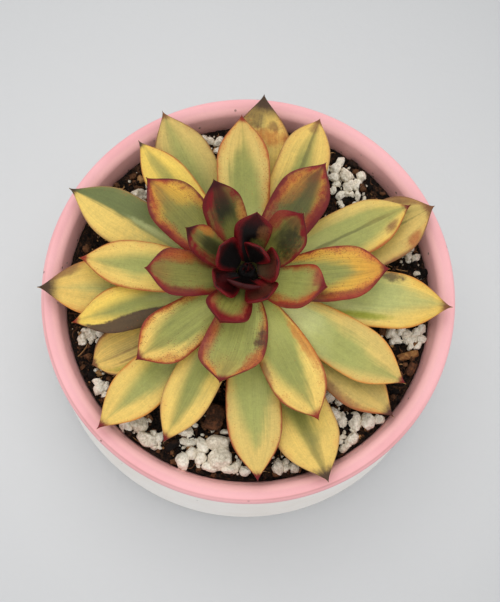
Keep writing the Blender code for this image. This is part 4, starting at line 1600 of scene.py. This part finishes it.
PERLITE_PATCHES = {
    "front_left": ((-37.6, -40.2, 2.5), (-33.9, -39.5, 2.9), (-34.3, -37.0, 1.7), (-31.5, -44.4, 3.1),
                   (-27.9, -44.0, 1.6)),
    "front": ((-19.5, -41.9, 2.2), (-20.0, -45.1, 1.5), (-17.7, -45.4, 1.7), (-14.2, -46.1, 2.2),
              (-17.7, -48.7, 2.2), (-20.3, -51.4, 2.7), (-14.6, -50.2, 2.1), (-8.9, -45.9, 3.4),
              (-8.9, -50.7, 3.8), (-11.9, -53.0, 2.2), (-6.2, -53.6, 1.9), (-3.8, -53.0, 1.9),
              (-1.1, -54.2, 1.9)),
    "front_small": ((9.5, -53.0, 2.3), (12.2, -53.2, 1.5), (14.4, -53.2, 1.7)),
    "front_right": ((27.0, -36.1, 2.0), (29.6, -37.9, 2.0), (33.2, -38.5, 2.7), (37.4, -37.9, 2.8),
                    (41.0, -37.9, 1.8)),
    "low_right": ((32.8, -43.5, 2.2), (31.2, -45.4, 1.5), (29.7, -47.0, 1.7)),
    "mid_right": ((25.6, -29.6, 2.8), (23.6, -28.4, 1.7), (28.8, -31.8, 1.9)),
    "right": ((44.9, -9.6, 1.9), (46.4, -11.0, 1.5), (48.2, -9.2, 1.8), (50.3, -10.6, 1.8),
              (53.0, -10.0, 1.8), (54.8, -8.9, 1.6), (51.9, -12.4, 1.5), (54.6, -11.9, 1.6),
              (53.6, -14.1, 1.4)),
    "back_right": ((29.5, 46.0, 1.8), (28.0, 43.5, 2.0), (27.4, 40.8, 1.9), (31.3, 41.3, 2.7),
                   (32.4, 38.1, 2.0), (35.0, 38.0, 1.8), (36.2, 41.0, 1.9)),
    "back_left": ((-14.0, 53.2, 1.5), (-12.0, 52.8, 1.6), (-9.6, 52.2, 1.7), (-9.7, 49.4, 1.5)),
    "left_back": ((-35.2, 34.7, 2.3), (-33.8, 32.4, 1.5)),
    "left": ((-49.4, -10.5, 2.0), (-46.6, -10.7, 1.9), (-52.2, -12.2, 1.8)),
    "left_low": ((-46.9, -26.6, 1.9), (-46.9, -29.0, 1.9)),
}
PERLITE_STRAY = ((51.1, 15.0, 1.5), (53.4, 14.7, 1.4), (54.5, 8.0, 0.9), (35.1, 35.0, 1.6),
                 (29.6, 34.8, 1.6))


@dataclass(frozen=True)
class BarkChip:
    """One chip of bark: where it lies, how it is turned, how large it is and its finish."""

    swell: ClassVar[float] = 1.25
    layers: ClassVar[float] = 5.0
    sunk: ClassVar[float] = 0.2
    chance: ClassVar[float] = 0.5

    name: str
    x: float
    y: float
    turn: float
    length: float
    width: float
    height: float
    finish: LooseFinish
    power: float = 0.42
    seat: float = POT.soil_top + POT.gap

    def build(self, seed: int) -> None:
        """A split block: a rounded box with layers along its length and a torn skin.

        The box is a ball whose cosines and sines are raised to a power below one, held within the
        swell. Layers are a sine across its height that shifts its sides, and rolling noise tears
        the rest.

        Args:
            seed: number that fixes the noise.
        """
        ways, faces = ball(28, 44)
        box = np.sign(ways) * np.abs(ways) ** self.power
        box /= np.maximum(np.linalg.norm(box, axis=1, keepdims=True) / self.swell, 1.0)
        points = box * np.array([self.length, self.width, self.height]) / 2
        layer = 0.1 * np.sin(points[:, 2] * self.layers + 1.3 * smooth_noise(points, 4, seed))
        torn = 0.16 * smooth_noise(points * np.array([0.4, 1.2, 1.2]), 1.6, seed + 1)
        points *= 1 + ((layer + torn) / 2)[:, None] * np.array([0.7, 1.0, 0.6])
        points = points @ spin(math.radians(self.turn))
        points += np.array([self.x, self.y, self.seat - self.sunk - points[:, 2].min()])
        add_piece(self.name, points, faces, self.finish.material(self.name), "bark", [self.name],
                  {"chance": np.full((len(points), 3), self.chance)})


BARK_BROWN = LooseFinish(Tint.BARK_DARK, Tint.BARK_RED, Tint.TAN, 0.02, 0.8, 0.0005, 700.0)
BARK_BLACK = LooseFinish(Tint.PEAT_DARK, Tint.BARK_DARK, Tint.TAN, 0.02, 0.85, 0.0005, 700.0)
BARK_PALE = LooseFinish(Tint.BROWN, Tint.TAN, Tint.STRAW, 0.1, 0.8, 0.0004, 700.0)
BARK = (
    BarkChip("bark_large", -10.4, -37.6, 75, 8.0, 5.4, 4.5, BARK_BROWN),
    BarkChip("bark_dark", -23.7, -46.4, 40, 4.6, 2.2, 2.2, BARK_BLACK),
    BarkChip("bark_tan", 50.4, -17.4, 15, 6.6, 2.4, 2.0, BARK_PALE),
    BarkChip("bark_brown", 51.3, -21.6, 62, 4.4, 2.6, 2.0, BARK_BROWN),
    BarkChip("bark_back", 33.7, 45.2, 143, 3.2, 1.8, 2.6, BARK_BLACK),
)


@dataclass(frozen=True)
class Stem:
    """The short stem: woody below and near-black above, painted shade deep in the rosette, with the rings
    that old leaves left.
    """

    top: float = 72.5
    foot: float = 48.2
    root: float = 38.3
    rings: int = 120
    around: int = 64
    scar_depth: float = 0.22
    bark: LooseFinish = LooseFinish(Tint.NIGHT, Tint.TAN, Tint.OLIVE, 0.0, 0.75, 0.0003, 800.0)
    pale_below: float = 59.0
    painted_shade_above: float = 66.0

    def build(self) -> None:
        """A tube round the leaning axis, whose radius dips in a spiral of scars.

        The scars are the product of two waves that climb the stem in opposite turns.
        """
        height = np.linspace(self.top, self.root, self.rings)[:, None]
        turn = full_turn(self.around)
        scars = np.sin(height * 3.1 + 3 * turn) * np.sin(height * 1.9 - 2 * turn)
        radius = CROWN.stem_radius(np.maximum(height, CROWN.foot)) + self.scar_depth * (scars - 1)
        x, y = CROWN.axis(np.maximum(height, self.foot))
        axis = np.stack([x, y, np.zeros_like(x)], axis=-1)
        rings = axis + circles(radius, height, turn)
        top, root = (np.array([x[end, 0], y[end, 0], height[end, 0]]) for end in (0, -1))
        points, faces = wrap(rings, top, root)
        # Painted shade: near-black above the given height, where the stem stands deep among the leaves.
        paleness = 0.8 - 1.4 * step(points[:, 2:], self.pale_below, self.painted_shade_above)
        add_piece("plant_stem", points, faces, self.bark.material("stem"), "stem", ["plant_stem"],
                  {"chance": paleness * np.ones(3)})


@dataclass(frozen=True)
class HeartBud:
    """The growing point: tiny dark leaves that close over each other round the stem's end."""

    foot: float = 72.6
    height: float = 6.0
    shortest: float = 0.62
    width: float = 2.6
    thick: float = 0.9
    cup: float = 0.25
    leaves: int = 6
    spread: float = 1.5
    gather: float = 0.75
    bulge: tuple[float, float] = (0.25, 0.85)
    spiral: float = 137.5
    first_turn: float = 25.0
    rings: int = 16
    around: int = 20
    paint: LeafPaint = replace(YOUNG, edge=Tint.WINE, tip=Tint.WINE, under=Tint.NIGHT)

    def leaf(self, number: int) -> Body:
        """One leaf of the bud: a lens drawn up from the foot, which bulges out and leans in at its tip.

        Its way out is the spread times the sine between the two shares of a half turn that the
        bulge gives. Later leaves are taller and stand nearer the middle, and the spiral turns them.

        Args:
            number: its place in the spiral, from 0.

        Returns:
            The points and triangles.
        """
        along = np.linspace(0, 1, self.rings + 2)[1:-1, None]
        angle = full_turn(self.around)
        tall = self.height * (self.shortest + (1 - self.shortest) * number / (self.leaves - 1))
        away = self.spread * (1 - self.gather * number / self.leaves)
        start, end = self.bulge
        side = self.width / 2 * np.sin(np.pi * (0.1 + 0.9 * along)) ** 0.7 * np.cos(angle)
        out = away * np.sin(np.pi * (start + (end - start) * along))
        out = out + self.thick / 2 * np.sin(np.pi * along) * np.sin(angle)
        out = out - self.cup * side ** 2 / self.width
        rings = np.stack(np.broadcast_arrays(out, side, tall * along), axis=-1)
        foot = np.array([away * math.sin(start * math.pi), 0, 0])
        tip = np.array([away * math.sin(end * math.pi), 0, tall])
        points, faces = wrap(rings, foot, tip)
        x, y = CROWN.axis(self.foot)
        turned = points @ spin(math.radians(self.spiral * number + self.first_turn))
        return turned + np.array([x, y, self.foot]), faces

    def build(self) -> None:
        """Make all leaves of the bud as one piece. Their outer faces count as their undersides."""
        points, faces = together([self.leaf(number) for number in range(self.leaves)])
        angle = full_turn(self.around)
        along = np.linspace(0, 1, self.rings + 2)[1:-1, None]
        grid = np.stack(np.broadcast_arrays(np.cos(angle), along, -np.sin(angle)), axis=-1)
        add_piece("heart_bud", points, faces, self.paint.material("bud_skin", 2.0), "young_leaf",
                  ["heart_bud"], {"spot": np.tile(leaf_spots(grid), (self.leaves, 1))})


@dataclass(frozen=True)
class Rosette:
    """Every leaf of the plant, oldest first, then the bud and the stem."""

    last_green_rank: int = 33

    def build(self) -> None:
        """Make the leaves, the bud and the stem."""
        for number, (leaf, paint) in enumerate(zip(LEAVES, PAINTS), 1):
            slot = "young_leaf" if leaf.rank > self.last_green_rank else "leaf"
            leaf.build(f"leaf_{number:02d}", paint, slot)
        HeartBud().build()
        Stem().build()


@dataclass(frozen=True)
class Studio:
    """Pale floor, made darker further out by painted shade, soft light from behind and above, and the
    camera over the plant.
    """

    target: tuple[float, float, float] = (0.37, -1.57, 55.0)
    distance: float = 689.0
    tilt: float = 12.90
    roll: float = -1.61
    lens: float = 131.56
    sensor: float = 36.0
    floor_half: float = 1500.0
    floor_specks: float = 70.0
    floor_relief: float = 0.00005
    floor_gloss: float = 0.2
    sky: tuple[float, float, float, float] = (0.98, 0.99, 1.0, 1.0)
    sky_strength: float = 0.98
    lamp_place: tuple[float, float, float] = (-0.1, 0.35, 1.2)
    lamp_size: float = 0.9
    lamp_power: float = 3.2
    lamp_tint: tuple[float, float, float] = (1.0, 0.97, 0.93)

    def camera(self) -> None:
        """Camera that looks down on the target, tilted towards the front and rolled a little."""
        tilt, roll = math.radians(self.tilt), math.radians(self.roll)
        back = np.array([math.sin(roll) * math.cos(tilt), -math.sin(tilt), math.cos(roll) * math.cos(tilt)])
        lens = bpy.data.cameras.new("camera")
        lens.lens = self.lens
        lens.sensor_width = self.sensor
        camera = bpy.data.objects.new("camera", lens)
        camera.location = (np.array(self.target) + self.distance * back) * MM
        camera.rotation_euler = (tilt, roll, 0.0)
        bpy.context.scene.collection.objects.link(camera)
        bpy.context.scene.camera = camera

    def light(self) -> None:
        """A soft sky and one large lamp."""
        scene = bpy.context.scene
        scene.view_settings.view_transform = "Standard"
        world = bpy.data.worlds.new("sky")
        world.use_nodes = True
        background = world.node_tree.nodes["Background"]
        background.inputs["Color"].default_value = self.sky
        background.inputs["Strength"].default_value = self.sky_strength
        scene.world = world
        panel = bpy.data.lights.new("lamp", "AREA")
        panel.shape = "DISK"
        panel.size = self.lamp_size
        panel.energy = self.lamp_power
        panel.color = self.lamp_tint
        lamp = bpy.data.objects.new("lamp", panel)
        x, y, z = self.lamp_place
        lamp.location = (x, y, z)
        lamp.rotation_euler = (math.atan2(math.hypot(x, y), z), 0, math.atan2(y, x) + math.pi / 2)
        bpy.context.scene.collection.objects.link(lamp)

    def floor(self) -> None:
        """A wide flat sheet at the height of the pot's foot, made a little darker further out by painted
        shade.

        It darkens with the distance from the pot and to its right, a painted falloff of the light, and a
        few cells hold a speck.
        """
        bench = Bench("floor")
        clouds = bench.noise(bench.place, 6, 3)
        grain = bench.noise(bench.place, 500, 2)
        x, y, _ = bench.split(bench.place)
        far = (x * x + y * y).math("SQRT")
        # Painted shade: darker with the distance from the pot, to its right and towards front and back.
        painted_falloff = (far - 0.08) * 9 + x * 1.5 + abs(y) * 1.5 + clouds * 0.2
        colour = painted_falloff.at_least(0.0).at_most(1.0).mix(Tint.FLOOR, Tint.FLOOR_PAINTED_SHADE)
        distance, chance = bench.cells(bench.place, self.floor_specks)
        colour = (distance.fall(0.03, 0.07) * chance.fall(0.05, 0.06)).mix(colour, Tint.SPECK)
        roughness = clouds * 0.1 + 0.7
        material = bench.finish(colour, roughness, grain, self.floor_relief, self.floor_gloss)
        half = self.floor_half * MM
        mesh = bpy.data.meshes.new("floor")
        mesh.from_pydata([(-half, -half, 0), (half, -half, 0), (half, half, 0), (-half, half, 0)], [],
                         [(0, 1, 2, 3)])
        mesh.materials.append(material)
        floor = bpy.data.objects.new("floor", mesh)
        bpy.context.scene.collection.objects.link(floor)

    def build(self) -> None:
        """Set up camera, light and floor."""
        self.camera()
        self.light()
        self.floor()


def main() -> None:
    """Build every sub-assembly in order; each new piece logs its number of triangles."""
    logging.basicConfig(level=logging.INFO, format="%(message)s")
    Studio().build()
    POT.build()
    SOIL.build()
    Perlite().build()
    for number, chip in enumerate(BARK):
        chip.build(40 + number)
    Rosette().build()


if __name__ == "__main__":
    main()
